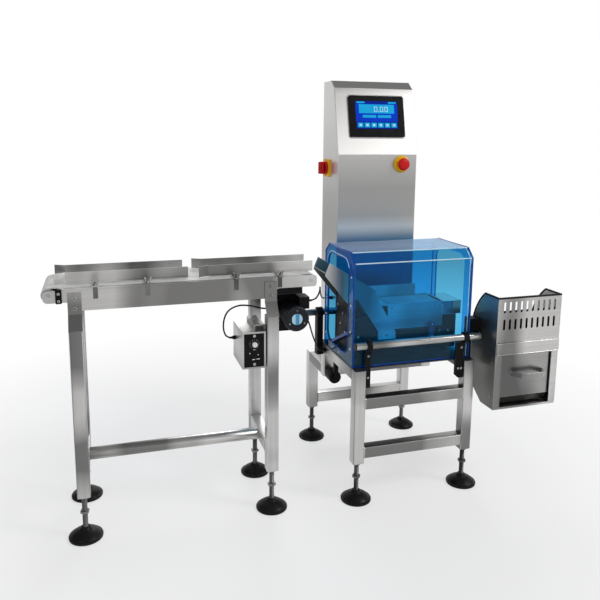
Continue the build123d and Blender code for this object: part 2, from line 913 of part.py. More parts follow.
with BuildPart() as estop_button:
    neck_start = estop_travel + contact_gap
    head_start = estop_collar_depth + neck_start
    turned(estop_centre, (
        (0, neck_start),
        (estop_neck_radius, neck_start),
        (estop_neck_radius, head_start),
        (estop_head_radius - 2, head_start),
        (estop_head_radius, head_start + 4),
        (estop_head_radius, head_start + 11),
        (estop_head_radius - 6, head_start + estop_head_depth - 1),
        (0, head_start + estop_head_depth),
    ))
save(estop_button, "estop_button")

isolator_centre = (isolator_y, isolator_z)

with BuildPart() as isolator_plate:
    with BuildSketch(side(column_left_x)) as square:
        with Locations(isolator_centre):
            RectangleRounded(isolator_side, isolator_side, 6)
    extrude(square.sketch, amount=-isolator_thickness)
    disc(side(column_left_x), isolator_centre, knob_shaft_radius * 2 + shaft_fit, -isolator_thickness,
         mode=Mode.SUBTRACT)
save(isolator_plate, "isolator_plate")

with BuildPart() as isolator_handle:
    disc_face_x = column_left_x - isolator_thickness - contact_gap
    grip_face_x = disc_face_x - isolator_disc_depth
    disc(side(column_left_x - contact_gap), isolator_centre, knob_shaft_radius * 2,
         -isolator_thickness - isolator_disc_depth)
    disc(side(disc_face_x), isolator_centre, isolator_disc_radius, -isolator_disc_depth)
    with BuildSketch(side(grip_face_x)) as grip:
        with Locations(isolator_centre):
            SlotOverall(isolator_grip_length, isolator_grip_width, rotation=90)
    extrude(grip.sketch, amount=-isolator_grip_depth, taper=4)
save(isolator_handle, "isolator_handle")


# Reject bin

def bin_side_outline(inset):
    """Side outline of the bin with its curved mouth, moved inwards by a sheet."""
    low = bin_bottom_z + inset
    with BuildSketch(side(bin_left_x + inset)) as outline:
        with BuildLine():
            Line((bin_front_y + inset, low), (bin_front_y + inset, bin_top_z))
            Line((bin_front_y + inset, bin_top_z), (bin_mouth_y, bin_top_z))
            ThreePointArc(
                (bin_mouth_y, bin_top_z),
                (bin_mouth_mid[0] - inset, bin_mouth_mid[1]),
                (bin_rear_y - inset, bin_mouth_low_z),
            )
            Line((bin_rear_y - inset, bin_mouth_low_z), (bin_rear_y - inset, bin_chamfer_z + inset / 2))
            Line((bin_rear_y - inset, bin_chamfer_z + inset / 2), (bin_chamfer_y, low))
            Line((bin_chamfer_y, low), (bin_front_y + inset, low))
        make_face()
    return outline.sketch


bin_inner_left_x = bin_left_x + bin_strip
bin_inner_right_x = bin_right_x - bin_strip
bin_middle_x = (bin_left_x + bin_right_x) / 2


def slot_row(low_z, high_z):
    """Cuts one row of upright slots in the bin's front."""
    with BuildSketch(facing(bin_front_y)) as row:
        with Locations((bin_middle_x, (low_z + high_z) / 2)):
            with GridLocations(slot_pitch, 1, slot_count, 1):
                SlotOverall(high_z - low_z, slot_width, rotation=90)
    extrude(row.sketch, amount=-bin_sheet, mode=Mode.SUBTRACT)


with BuildPart() as bin_body:
    extrude(bin_side_outline(0), amount=bin_right_x - bin_left_x)
    extrude(bin_side_outline(bin_sheet), amount=bin_right_x - bin_left_x - 2 * bin_sheet,
            mode=Mode.SUBTRACT)
    block(bin_left_x + bin_sheet, bin_right_x - bin_sheet, bin_front_y + bin_sheet, bin_rear_y + 1,
          bin_mouth_low_z, bin_top_z + 1, mode=Mode.SUBTRACT)
    slot_row(*low_slot_z)
    slot_row(*high_slot_z)
    block(bin_inner_left_x, bin_inner_right_x, bin_front_y - 1, bin_front_y + bin_sheet,
          bin_bottom_z + bin_sill, bin_header_low_z, mode=Mode.SUBTRACT)
    block(bin_left_x, bin_right_x, bin_front_y - bin_header_proud, bin_front_y,
          bin_header_low_z, bin_header_high_z)
    for runner_x in (bin_inner_left_x, bin_inner_right_x - bin_runner):
        block(runner_x, runner_x + bin_runner, bin_front_y + bin_sheet, bin_chamfer_y,
              bin_bottom_z + bin_sheet, bin_bottom_z + bin_sill)
save(bin_body, "bin_body")


def edging_outline(grow):
    """Mouth line of the bin's side, grown outwards for the rubber edging."""
    with BuildSketch(side(bin_left_x - edging_seat)) as band:
        with BuildLine():
            Line((bin_front_y - edging_seat, bin_top_z), (bin_mouth_y, bin_top_z))
            ThreePointArc(
                (bin_mouth_y, bin_top_z), bin_mouth_mid, (bin_rear_y, bin_mouth_low_z)
            )
            Line((bin_rear_y, bin_mouth_low_z), (bin_rear_y + grow, bin_mouth_low_z))
            ThreePointArc(
                (bin_rear_y + grow, bin_mouth_low_z),
                (bin_mouth_mid[0] + grow * 0.8, bin_mouth_mid[1] + grow * 0.6),
                (bin_mouth_y + 1, bin_top_z + grow),
            )
            Line((bin_mouth_y + 1, bin_top_z + grow), (bin_front_y - edging_seat, bin_top_z + grow))
            Line((bin_front_y - edging_seat, bin_top_z + grow), (bin_front_y - edging_seat, bin_top_z))
        make_face()
    return band.sketch


with BuildPart() as bin_edging:
    extrude(edging_outline(edging_height), amount=edging_width)
    mirror(about=Plane(origin=(origin_x + bin_middle_x, 0, 0), z_dir=(1, 0, 0)))
    block(bin_left_x, bin_right_x, bin_front_y - edging_seat, bin_front_y + edging_width,
          bin_top_z, bin_top_z + edging_height)
save(bin_edging, "bin_edging")

drawer_left_x = bin_inner_left_x + drawer_clearance
drawer_right_x = bin_inner_right_x - drawer_clearance
drawer_low_z = bin_bottom_z + bin_sill + contact_gap
drawer_rear_y = bin_rear_y - bin_sheet - 8


def drawer_outline(inset):
    """Side outline of the drawer, moved inwards by its sheet and open at the top."""
    low = drawer_low_z + inset
    rise = (bin_chamfer_z - bin_bottom_z) / (bin_rear_y - bin_chamfer_y)
    foot_y = bin_chamfer_y - 6 - inset * 0.4
    return (
        (drawer_front_y + inset, drawer_top_z + inset),
        (drawer_front_y + inset, drawer_fold_z),
        (drawer_front_y + drawer_fold_depth + inset * 0.5, low),
        (foot_y, low),
        (drawer_rear_y - inset, low + rise * (drawer_rear_y - inset - foot_y)),
        (drawer_rear_y - inset, drawer_top_z + inset),
    )


def handle_outline(inset):
    """Plan outline of the drawer's bent strip handle."""
    grow = inset * 0.5
    return (
        (handle_left_x + inset + grow, drawer_front_y),
        (handle_left_x + handle_slant + inset, drawer_front_y - handle_proud + inset),
        (handle_right_x - handle_slant - inset, drawer_front_y - handle_proud + inset),
        (handle_right_x - inset - grow, drawer_front_y),
    )


with BuildPart() as bin_drawer:
    prism(side(drawer_left_x), drawer_outline(0), drawer_right_x - drawer_left_x)
    prism(side(drawer_left_x + drawer_sheet), drawer_outline(drawer_sheet),
          drawer_right_x - drawer_left_x - 2 * drawer_sheet, mode=Mode.SUBTRACT)
    prism(level(handle_low_z), handle_outline(0), handle_high_z - handle_low_z)
    prism(level(handle_low_z), handle_outline(handle_sheet), handle_high_z - handle_low_z,
          mode=Mode.SUBTRACT)
save(bin_drawer, "bin_drawer")

with BuildPart() as bin_bracket:
    prism(
        facing(bin_bracket_y[0]),
        (
            (frame_width, bin_bracket_low_z),
            (frame_width + bin_bracket_sheet, bin_bracket_low_z),
            (frame_width + bin_bracket_sheet, bin_bracket_z[0] + 20),
            (bin_left_x - bin_bracket_sheet, bin_bracket_z[0] + 20),
            (bin_left_x - bin_bracket_sheet, bin_bracket_z[0]),
            (bin_left_x, bin_bracket_z[0]),
            (bin_left_x, bin_bracket_z[1]),
            (frame_width, bin_bracket_z[1]),
        ),
        bin_bracket_y[0] - bin_bracket_y[1],
    )
save(bin_bracket, "bin_bracket")


# Infeed conveyor

infeed_front_y = lane_y - infeed_half_width
infeed_rear_y = lane_y + infeed_half_width
infeed_roller_z = infeed_belt_z - infeed_belt_thickness - contact_gap - infeed_roller_radius
infeed_wrap = infeed_roller_radius + contact_gap + infeed_belt_thickness
lane_mirror = Plane(origin=(0, origin_y + lane_y, 0), z_dir=(0, 1, 0))

with BuildPart() as infeed_side_plates:
    with BuildSketch(facing(infeed_front_y)) as outline:
        with BuildLine():
            FilletPolyline(
                (infeed_left_x, infeed_top_z),
                (infeed_right_x, infeed_top_z),
                (infeed_right_x, infeed_shallow_z),
                (infeed_deep_right_x, infeed_shallow_z),
                (infeed_deep_right_x - 8, infeed_deep_z),
                (infeed_deep_left_x + 8, infeed_deep_z),
                (infeed_deep_left_x, infeed_shallow_z),
                (infeed_left_x, infeed_shallow_z),
                radius=(1, infeed_end_radius, infeed_end_radius, infeed_bend_radius, 6, 6, 6, 2),
                close=True,
            )
        make_face()
    extrude(outline.sketch, amount=-plate)
    block(infeed_deep_left_x + 24, infeed_deep_right_x - 24, infeed_front_y + plate,
          infeed_front_y + infeed_lip, infeed_deep_z, infeed_deep_z + sheet)
    disc(facing(infeed_front_y), (infeed_drive_x, infeed_roller_z), infeed_shaft_radius + shaft_fit,
         -plate, mode=Mode.SUBTRACT)
    mirror(about=lane_mirror)
save(infeed_side_plates, "infeed_side_plates")

bed_inner_y = infeed_front_y + plate
bed_left_x = infeed_tail_x + infeed_wrap + bed_belt_clearance
bed_right_x = infeed_drive_x - infeed_wrap - bed_belt_clearance
bed_top_z = infeed_belt_z - infeed_belt_thickness

with BuildPart() as infeed_bed:
    block(bed_left_x, bed_right_x, bed_inner_y, 2 * lane_y - bed_inner_y, bed_top_z - sheet, bed_top_z)
    for flange_y in (bed_inner_y, 2 * lane_y - bed_inner_y - sheet):
        block(tail_bracket_right_x + 4, bed_right_x, flange_y, flange_y + sheet,
              bed_top_z - bed_flange, bed_top_z)
save(infeed_bed, "infeed_bed")

with BuildPart() as infeed_belt:
    belt_loop(facing(lane_y - infeed_belt_half_width), infeed_tail_x, infeed_drive_x, infeed_roller_z,
              infeed_roller_radius + contact_gap, infeed_belt_thickness, 2 * infeed_belt_half_width)
save(infeed_belt, "infeed_belt")

belt_face_front = lane_y - infeed_belt_half_width - 1
belt_face_rear = lane_y + infeed_belt_half_width + 1
pulley_rear_y = pulley_front_y + pulley_width


def pulley(x, z):
    """Adds a timing pulley with two flanges."""
    disc(facing(pulley_front_y), (x, z), pulley_radius, -pulley_width)
    for flange_y in (pulley_front_y - pulley_flange_sheet, pulley_rear_y):
        disc(facing(flange_y), (x, z), pulley_radius + pulley_flange, -pulley_flange_sheet)


with BuildPart() as drive_roller:
    roller(infeed_drive_x, infeed_roller_z, infeed_roller_radius, infeed_shaft_radius, belt_face_front,
           belt_face_rear, infeed_front_y, pulley_rear_y)
    pulley(infeed_drive_x, infeed_roller_z)
save(drive_roller, "drive_roller")

tail_front_y = bed_inner_y
with BuildPart() as tail_roller:
    roller(infeed_tail_x, infeed_roller_z, infeed_roller_radius, infeed_shaft_radius, belt_face_front,
           belt_face_rear, tail_front_y, 2 * lane_y - tail_front_y)
save(tail_roller, "tail_roller")

with BuildPart() as tail_brackets:
    block(tail_bracket_left_x, tail_bracket_right_x, tail_front_y, tail_front_y + plate,
          tail_bracket_low_z, tail_bracket_high_z)
    fillet(tail_brackets.edges().filter_by(Axis.Y).group_by(Axis.X)[0], 14)
    disc(facing(tail_front_y), (infeed_tail_x, infeed_roller_z), infeed_shaft_radius + shaft_fit,
         -plate, mode=Mode.SUBTRACT)
    with BuildSketch(facing(tail_front_y)) as slot:
        with Locations((tail_bracket_right_x - tail_slot_length / 2 - 12, infeed_roller_z)):
            SlotOverall(tail_slot_length, tail_slot_width)
    extrude(slot.sketch, amount=-plate, mode=Mode.SUBTRACT)
    mirror(about=lane_mirror)
save(tail_brackets, "tail_brackets")

with BuildPart() as tension_clamps:
    block(clamp_left_x, clamp_right_x, infeed_front_y - clamp_depth, infeed_front_y,
          tail_bracket_low_z, infeed_top_z)
    fillet(tension_clamps.edges().filter_by(Axis.Y), 3)
    block(clamp_left_x, infeed_left_x, infeed_front_y, infeed_front_y + plate,
          tail_bracket_low_z, infeed_top_z - 2)
    mirror(about=lane_mirror)
save(tension_clamps, "tension_clamps")


# Infeed stands

strap_front_y = infeed_front_y - plate

for name, leg_x in (("infeed_stand_left", stand_left_x), ("infeed_stand_right", stand_right_x)):
    with BuildPart() as stand:
        upright_tube(leg_x, stand_front_y, stand_foot_z, stand_top_z)
        prism(
            side(leg_x),
            (
                (stand_front_y, stand_top_z),
                (strap_front_y, strap_bend_z),
                (strap_front_y, strap_top_z),
                (infeed_front_y, strap_top_z),
                (infeed_front_y, strap_bend_z - 1),
                (stand_front_y + 4.5, stand_top_z),
            ),
            tube,
        )
        mirror(about=lane_mirror)
        depth_bar(leg_x, stand_rail_z, stand_front_y + tube / 2, stand_rear_y + tube / 2)
        stem_holes([c for c in stand_centres if abs(c[0] - leg_x) < tube], stand_foot_z)
    save(stand, name)

with BuildPart() as cross_tube:
    start_x = stand_left_x + tube
    disc(side(start_x), (lane_y, stand_rail_z + tube / 2), cross_tube_radius, stand_right_x - start_x)
save(cross_tube, "cross_tube")


# Side guides with slotted arms, clips and wing nuts

clip_top_z = guide_low_z
arm_low_z = clip_top_z + contact_gap
stud_y = infeed_front_y - clip_reach / 2 - 1
slot_half = stud_radius + arm_slot_clearance


def side_guide(span, clips, flip):
    """Builds one guide rail with its two slotted arms, on the front or the rear side."""
    face_y = lane_y - guide_half_gap
    with BuildPart() as guide:
        prism(
            level(guide_low_z + contact_gap),
            (
                (span[1], face_y),
                (span[0], face_y),
                (span[0] - guide_flare, face_y - guide_flare / 2),
                (span[0] - guide_flare, face_y - guide_flare / 2 - sheet),
                (span[0], face_y - sheet),
                (span[1], face_y - sheet),
            ),
            guide_high_z - guide_low_z,
        )
        block(span[0] + 6, span[1] - 2, face_y - sheet - guide_lip, face_y - sheet,
              arm_low_z, arm_low_z + sheet)
        for clip_x in clips:
            block(clip_x - clip_width / 2, clip_x + clip_width / 2, stud_y - slot_half - 4,
                  face_y - sheet, arm_low_z, arm_low_z + sheet)
            with BuildSketch(level(arm_low_z)) as slot:
                with Locations((clip_x, stud_y + guide_travel / 2)):
                    SlotOverall(guide_travel + 2 * slot_half, 2 * slot_half, rotation=90)
            extrude(slot.sketch, amount=sheet, mode=Mode.SUBTRACT)
    if flip:
        return guide.part.mirror(lane_mirror)
    return guide.part


for rank, spans, clip_rows, flip in (("front", front_guides, front_clips, False),
                                     ("rear", rear_guides, rear_clips, True)):
    for number, (span, clips) in enumerate(zip(spans, clip_rows), start=1):
        with BuildPart() as guide_rail:
            add(side_guide(span, clips, flip))
        save(guide_rail, f"{rank}_guide_{number}")


def both_sides():
    """Clip positions as x and whether they are on the rear side."""
    front = [(x, False) for pair in front_clips for x in pair]
    rear = [(x, True) for pair in rear_clips for x in pair]
    return front + rear


def clip_bracket(x):
    """Adds one front clip: a strip on the side plate with a flange and a threaded stud."""
    x0 = x - clip_width / 2
    block(x0, x0 + clip_width, infeed_front_y - sheet, infeed_front_y, clip_low_z, clip_top_z)
    block(x0, x0 + clip_width, infeed_front_y - clip_reach, infeed_front_y,
          clip_top_z - sheet, clip_top_z)
    disc(level(clip_top_z - sheet), (x, stud_y), stud_radius, stud_height)


def wing_nut(x):
    """Adds one front wing nut with two slanting ears above its arm."""
    seat_z = arm_low_z + sheet + contact_gap
    disc(level(seat_z), (x, stud_y), wing_hub_radius, wing_hub_height)
    for way in (-1, 1):
        prism(
            facing(stud_y - 1),
            (
                (x + way * 3, seat_z + 1),
                (x + way * 6, seat_z + 1),
                (x + way * wing_span, seat_z + wing_hub_height + 10),
                (x + way * (wing_span - 5), seat_z + wing_hub_height + 10),
            ),
            -2,
        )
    disc(level(seat_z), (x, stud_y), stud_radius, stud_height, mode=Mode.SUBTRACT)


with BuildPart() as guide_brackets:
    for clip_x, is_rear in both_sides():
        with BuildPart(mode=Mode.PRIVATE) as one_clip:
            clip_bracket(clip_x)
        add(one_clip.part.mirror(lane_mirror) if is_rear else one_clip.part)
save(guide_brackets, "guide_brackets")

with BuildPart() as wing_nuts:
    for clip_x, is_rear in both_sides():
        with BuildPart(mode=Mode.PRIVATE) as one_nut:
            wing_nut(clip_x)
        add(one_nut.part.mirror(lane_mirror) if is_rear else one_nut.part)
save(wing_nuts, "wing_nuts")


# Infeed drive

motor_centre = (motor_x, motor_z)
plate_rear_y = motor_plate_y + motor_plate_thickness
neck_radius = 20.0

with BuildPart() as motor_plate:
    block(motor_plate_left_x, motor_plate_right_x, motor_plate_y, plate_rear_y,
          motor_plate_low_z, motor_bridge_z + motor_plate_thickness)
    fillet(motor_plate.edges().filter_by(Axis.Y).group_by(Axis.Z)[0], 8)
    block(motor_plate_left_x, motor_plate_right_x, bed_inner_y, 2 * lane_y - bed_inner_y,
          motor_bridge_z, motor_bridge_z + motor_plate_thickness)
    for tab_y in (bed_inner_y, 2 * lane_y - bed_inner_y - motor_tab_sheet):
        block(motor_plate_left_x, motor_plate_right_x, tab_y, tab_y + motor_tab_sheet,
              motor_bridge_z, bed_top_z - bed_flange)
    disc(facing(motor_plate_y), motor_centre, neck_radius, -motor_plate_thickness, mode=Mode.SUBTRACT)
save(motor_plate, "motor_plate")

gearbox_rear_y = plate_rear_y + gearbox_length
boss_rear_y = gearbox_rear_y + gearbox_boss

with BuildPart() as gear_motor:
    with BuildSketch(facing(plate_rear_y)) as housing:
        with Locations(motor_centre):
            RectangleRounded(gearbox_side, gearbox_side, 8)
    extrude(housing.sketch, amount=-gearbox_length)
    disc(facing(gearbox_rear_y), motor_centre, 2 * output_shaft_radius, -gearbox_boss)
    disc(facing(motor_plate_y), motor_centre, neck_radius, -motor_plate_thickness)
    disc(facing(motor_front_y + 2), motor_centre, motor_radius, motor_front_y + 2 - motor_plate_y)
    with BuildSketch(facing(motor_front_y)) as cap:
        with Locations(motor_centre):
            Circle(motor_cap_radius)
    extrude(cap.sketch, amount=-motor_cap_length)
    chamfer(gear_motor.faces().sort_by(Axis.Y)[0].edges(), 2.5)
    block(*terminal_box_x, *terminal_box_y, *terminal_box_z)
    disc(facing(boss_rear_y - output_bore_depth), motor_centre, output_shaft_radius + shaft_fit,
         -output_bore_depth, mode=Mode.SUBTRACT)
save(gear_motor, "gear_motor")

with BuildPart() as motor_pulley:
    shaft_start_y = boss_rear_y - output_bore_depth + contact_gap
    disc(facing(shaft_start_y), motor_centre, output_shaft_radius, shaft_start_y - pulley_rear_y)
    pulley(*motor_centre)
save(motor_pulley, "motor_pulley")

drive_angle = degrees(atan2(infeed_roller_z - motor_z, infeed_drive_x - motor_x))
drive_span = hypot(infeed_roller_z - motor_z, infeed_drive_x - motor_x)
drive_middle = ((infeed_drive_x + motor_x) / 2, (infeed_roller_z + motor_z) / 2)
belt_inner = pulley_radius + contact_gap


def drive_loop(plane, radius, depth, mode=Mode.ADD):
    """Adds or cuts a long rounded shape round both pulleys."""
    with BuildSketch(plane) as loop:
        with Locations(drive_middle):
            SlotCenterToCenter(drive_span, 2 * radius, rotation=drive_angle)
    extrude(loop.sketch, amount=-depth, mode=mode)


with BuildPart() as timing_belt:
    belt_y = pulley_front_y + (pulley_width - timing_belt_width) / 2
    drive_loop(facing(belt_y), belt_inner + timing_belt_thickness, timing_belt_width)
    drive_loop(facing(belt_y), belt_inner, timing_belt_width, mode=Mode.SUBTRACT)
save(timing_belt, "timing_belt")

with BuildPart() as drive_cover:
    cover_inner = pulley_radius + pulley_flange + cover_clearance
    drive_loop(facing(infeed_rear_y), cover_inner + cover_sheet, cover_depth)
    drive_loop(facing(infeed_rear_y), cover_inner, cover_depth - cover_sheet, mode=Mode.SUBTRACT)
save(drive_cover, "drive_cover")


# Speed control box

panel_y = box_front_y + box_recess - box_panel_sheet

with BuildPart() as speed_box:
    block(box_left_x, box_right_x, box_front_y, box_rear_y, box_low_z, box_high_z)
    block(box_left_x + box_rim, box_right_x - box_rim, box_front_y, box_front_y + box_recess,
          box_low_z + box_rim, box_high_z - box_rim, mode=Mode.SUBTRACT)
    disc(facing(box_front_y + box_recess), (knob_x, knob_z), knob_shaft_radius + 2, -8, mode=Mode.SUBTRACT)
    block(box_right_x, box_right_x + plate, *box_bracket_y, box_low_z + 30, box_high_z + 12 + plate)
    block(box_right_x - box_bracket_reach, box_right_x, *box_bracket_y, box_high_z + 12,
          box_high_z + 12 + plate)
    block(box_right_x - box_bracket_reach, box_right_x - box_bracket_reach + plate, *box_bracket_y,
          box_high_z, box_high_z + 12)
    for hole_y in (box_bracket_y[0] + 16, box_bracket_y[1] - 16):
        disc(level(box_high_z), (box_right_x - box_bracket_reach / 2, hole_y), 4, 20, mode=Mode.SUBTRACT)
save(speed_box, "speed_box")

with BuildPart() as speed_panel:
    block(box_left_x + box_rim, box_right_x - box_rim, panel_y, box_front_y + box_recess,
          box_low_z + box_rim, box_high_z - box_rim)
    disc(facing(panel_y), (knob_x, knob_z), knob_shaft_radius + shaft_fit, -box_panel_sheet,
         mode=Mode.SUBTRACT)
save(speed_panel, "speed_panel")

with BuildPart() as speed_knob:
    disc(facing(panel_y - contact_gap), (knob_x, knob_z), knob_radius, knob_depth)
    chamfer(speed_knob.faces().sort_by(Axis.Y)[0].edges(), 1.5)
    disc(facing(panel_y - contact_gap), (knob_x, knob_z), knob_shaft_radius, -box_panel_sheet - 4)
save(speed_knob, "speed_knob")


# Screw heads

def screw(plane, centre, radius=screw_radius, height=screw_height):
    """Adds one round screw head that stands on a plane."""
    disc(plane, centre, radius, height)


with BuildPart() as screw_heads:
    for strap_x in (stand_left_x, stand_right_x):
        for bolt_z in (strap_top_z - 16, strap_top_z - 46):
            screw(facing(strap_front_y), (strap_x + tube / 2, bolt_z))
            screw(facing(2 * lane_y - strap_front_y), (strap_x + tube / 2, bolt_z), height=-screw_height)
    for bolt_z in (tail_bracket_low_z + 8, infeed_top_z - 12):
        screw(facing(infeed_front_y - clamp_depth), ((clamp_left_x + clamp_right_x) / 2, bolt_z), 4)
        screw(facing(infeed_rear_y + clamp_depth), ((clamp_left_x + clamp_right_x) / 2, bolt_z), 4,
              -screw_height)
    for bolt_x in (352, 383):
        screw(facing(base_front_y), (bolt_x, base_skirt_z - 14), 4)
    for bolt_x in (base_left_x + 30, chute_arm_left_x + 30):
        bolt_y = base_front_y if bolt_x < chute_arm_left_x else chute_front_y
        screw(facing(bolt_y), (bolt_x, chute_arm_bottom_z + 16), 4)
    for bolt_y, bolt_z in ((lane_y - 34, 540), (lane_y + 8, 560), (lane_y - 12, 600), (lane_y + 34, 620)):
        screw(side(support_web_x), (bolt_y, bolt_z), 4, -screw_height)
    for bolt_x in (tube + 9, right_leg_x - 9, right_leg_x - 20):
        screw(facing(bracket_front_y), (bolt_x, deck_z - 26), 4)
    for bolt_x in (tube + 9, right_leg_x - 10):
        screw(facing(bracket_front_y), (bolt_x, front_pipe_z - clamp_radius - 18), 4)
    for bolt_z in (bin_header_low_z - 30, bin_bottom_z + 40):
        screw(side(bin_left_x), (bin_front_y + 20, bolt_z), 3, -2)
        screw(side(bin_right_x), (bin_front_y + 20, bolt_z), 3, 2)
    for bolt_z in (box_low_z + 13, box_high_z - 13):
        screw(facing(panel_y), (knob_x, bolt_z), 4.5, 2)
save(screw_heads, "screw_heads")


# Leads and their glands

def tangent_radii(points):
    """Largest arc at each corner that its two runs leave room for."""
    radii = []
    for before, here, after in zip(points, points[1:], points[2:]):
        first = Vector(*here) - Vector(*before)
        second = Vector(*after) - Vector(*here)
        turn = radians(first.get_angle(second))
        radii.append(0.45 * min(first.length, second.length) / tan(turn / 2))
    return radii


def lead(points, name):
    """Builds a round lead along straight runs joined by tangent arcs."""
    placed = [(x + origin_x, y + origin_y, z) for x, y, z in points]
    radii = tangent_radii(placed)
    print(name, "bend radii", [round(value, 1) for value in radii])
    with BuildPart() as cable:
        with BuildLine() as path:
            FilletPolyline(*placed, radius=radii)
        with BuildSketch(Plane(origin=path.line @ 0, z_dir=path.line % 0)):
            Circle(cable_radius)
        sweep()
    run_length = sum(edge.length for edge in path.edges())
    ideal = pi * cable_radius**2 * run_length
    print(name, "volume against section times length", round(cable.part.volume / ideal, 4))
    save(cable, name)


upper_lead_start = (terminal_box_x[1] + gland_length, 92, 668)
upper_lead_end = (column_left_x - gland_length, 392, 592)
lead(
    (
        upper_lead_start,
        (-108, 92, 668),
        (-90, 106, 682),
        (-76, 134, 692),
        (-66, 164, 692),
        (-56, 196, 682),
        (-40, 238, 662),
        (-24, 282, 640),
        (-6, 326, 618),
        (10, 358, 602),
        (28, 392, 592),
        upper_lead_end,
    ),
    "motor_lead_upper",
)

lower_lead_start = (motor_x + gearbox_side / 2 + gland_length, 164, 600)
lower_lead_end = (-gland_length, 286, 430)
lead(
    (
        lower_lead_start,
        (-120, 164, 600),
        (-101, 177, 576),
        (-82, 202, 530),
        (-66, 224, 496),
        (-48, 248, 464),
        (-34, 270, 441),
        (-22, 286, 430),
        lower_lead_end,
    ),
    "motor_lead_lower",
)

box_lead_start = (box_left_x - gland_length, 148, 548)
box_lead_end = (motor_plate_left_x - gland_length, 133, 640)
lead(
    (
        box_lead_start,
        (-382, 148, 548),
        (-394, 148, 572),
        (-393, 147, 610),
        (-378, 146, 640),
        (-346, 144, 654),
        (-312, 141, 652),
        (-286, 137, 645),
        (-266, 133, 640),
        box_lead_end,
    ),
    "speed_box_lead",
)

with BuildPart() as cable_glands:
    for plane, centre, way in (
        (side(terminal_box_x[1]), (92, 668), 1),
        (side(column_left_x), (392, 592), -1),
        (side(motor_x + gearbox_side / 2), (164, 600), 1),
        (side(0), (286, 430), -1),
        (side(box_left_x), (148, 548), -1),
        (side(motor_plate_left_x), (133, 640), -1),
    ):
        disc(plane, centre, gland_radius, way * gland_length)
save(cable_glands, "cable_glands")
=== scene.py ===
"""Checkweigher, dressed for the render: pieces in metres in the CAD's own frame."""
from math import atan2, cos, hypot, pi, radians, sin

import bmesh
import bpy
from mathutils import Matrix, Vector


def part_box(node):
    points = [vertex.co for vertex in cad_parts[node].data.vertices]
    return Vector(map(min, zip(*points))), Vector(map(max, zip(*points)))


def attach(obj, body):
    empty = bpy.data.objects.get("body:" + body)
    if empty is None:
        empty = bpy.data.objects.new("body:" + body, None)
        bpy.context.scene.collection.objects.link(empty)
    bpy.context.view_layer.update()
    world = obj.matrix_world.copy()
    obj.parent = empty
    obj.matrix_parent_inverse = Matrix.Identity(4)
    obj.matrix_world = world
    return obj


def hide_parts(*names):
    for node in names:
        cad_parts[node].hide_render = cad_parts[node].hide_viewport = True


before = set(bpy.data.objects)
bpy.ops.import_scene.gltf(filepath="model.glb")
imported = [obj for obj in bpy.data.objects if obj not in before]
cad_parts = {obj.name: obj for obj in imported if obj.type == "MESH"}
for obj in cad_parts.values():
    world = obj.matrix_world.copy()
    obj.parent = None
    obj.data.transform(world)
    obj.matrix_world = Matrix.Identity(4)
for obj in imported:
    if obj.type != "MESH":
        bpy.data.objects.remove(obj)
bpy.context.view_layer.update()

# Lengths below are millimetres in machine coordinates, as in the part's source: x runs with the
# product, y away from the operator, z up, and zero is the front left leg's outer corner.
MM = 0.001
ORIGIN = Vector((108.4, -228.5, 0))
AXES = {"x": Vector((1, 0, 0)), "y": Vector((0, 1, 0)), "z": Vector((0, 0, 1))}

LANE_Y = 165.75
TUBE = 38.0
FRAME_WIDTH, FRAME_DEPTH = 429.0, 512.0
FOOT_Z, STAND_FOOT_Z = 132.0, 133.5
STAND_X = (-852.0, -280.0)
STAND_Y = (28.6, 264.9)
SLOPE_RUN, SLOPE_RISE = 51.0, 233.0


def at(x, y, z):
    """Row-frame point in metres of a point in machine millimetres."""
    return (Vector((x, y, z)) + ORIGIN) * MM


def solid(name):
    """Lowest and highest corner of a CAD node in machine millimetres."""
    return [Vector(corner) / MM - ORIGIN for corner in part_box(name)]


# Camera at the photograph's viewpoint

YAW, PITCH, ROLL = radians(16.53), radians(9.72), radians(0.39)
FOCAL_PIXELS, FRAME_PIXELS, SENSOR = 653.0, 600.0, 36.0
PRINCIPAL = (293.75, 246.54)

forward = Vector((sin(YAW) * cos(PITCH), cos(YAW) * cos(PITCH), -sin(PITCH)))
level_right = Vector((cos(YAW), -sin(YAW), 0))
level_up = level_right.cross(forward)
right = level_right * cos(ROLL) + level_up * sin(ROLL)
up = level_up * cos(ROLL) - level_right * sin(ROLL)

camera = bpy.data.objects.new("camera", bpy.data.cameras.new("camera"))
camera.matrix_world = Matrix.Translation(at(-749.72, -1830.68, 1187.64)) @ Matrix(
    (right, up, -forward)).transposed().to_4x4()
camera.data.sensor_width = SENSOR
camera.data.lens = SENSOR * FOCAL_PIXELS / FRAME_PIXELS
camera.data.shift_x = 0.5 - PRINCIPAL[0] / FRAME_PIXELS
camera.data.shift_y = PRINCIPAL[1] / FRAME_PIXELS - 0.5
bpy.context.scene.collection.objects.link(camera)
bpy.context.scene.camera = camera


# Materials

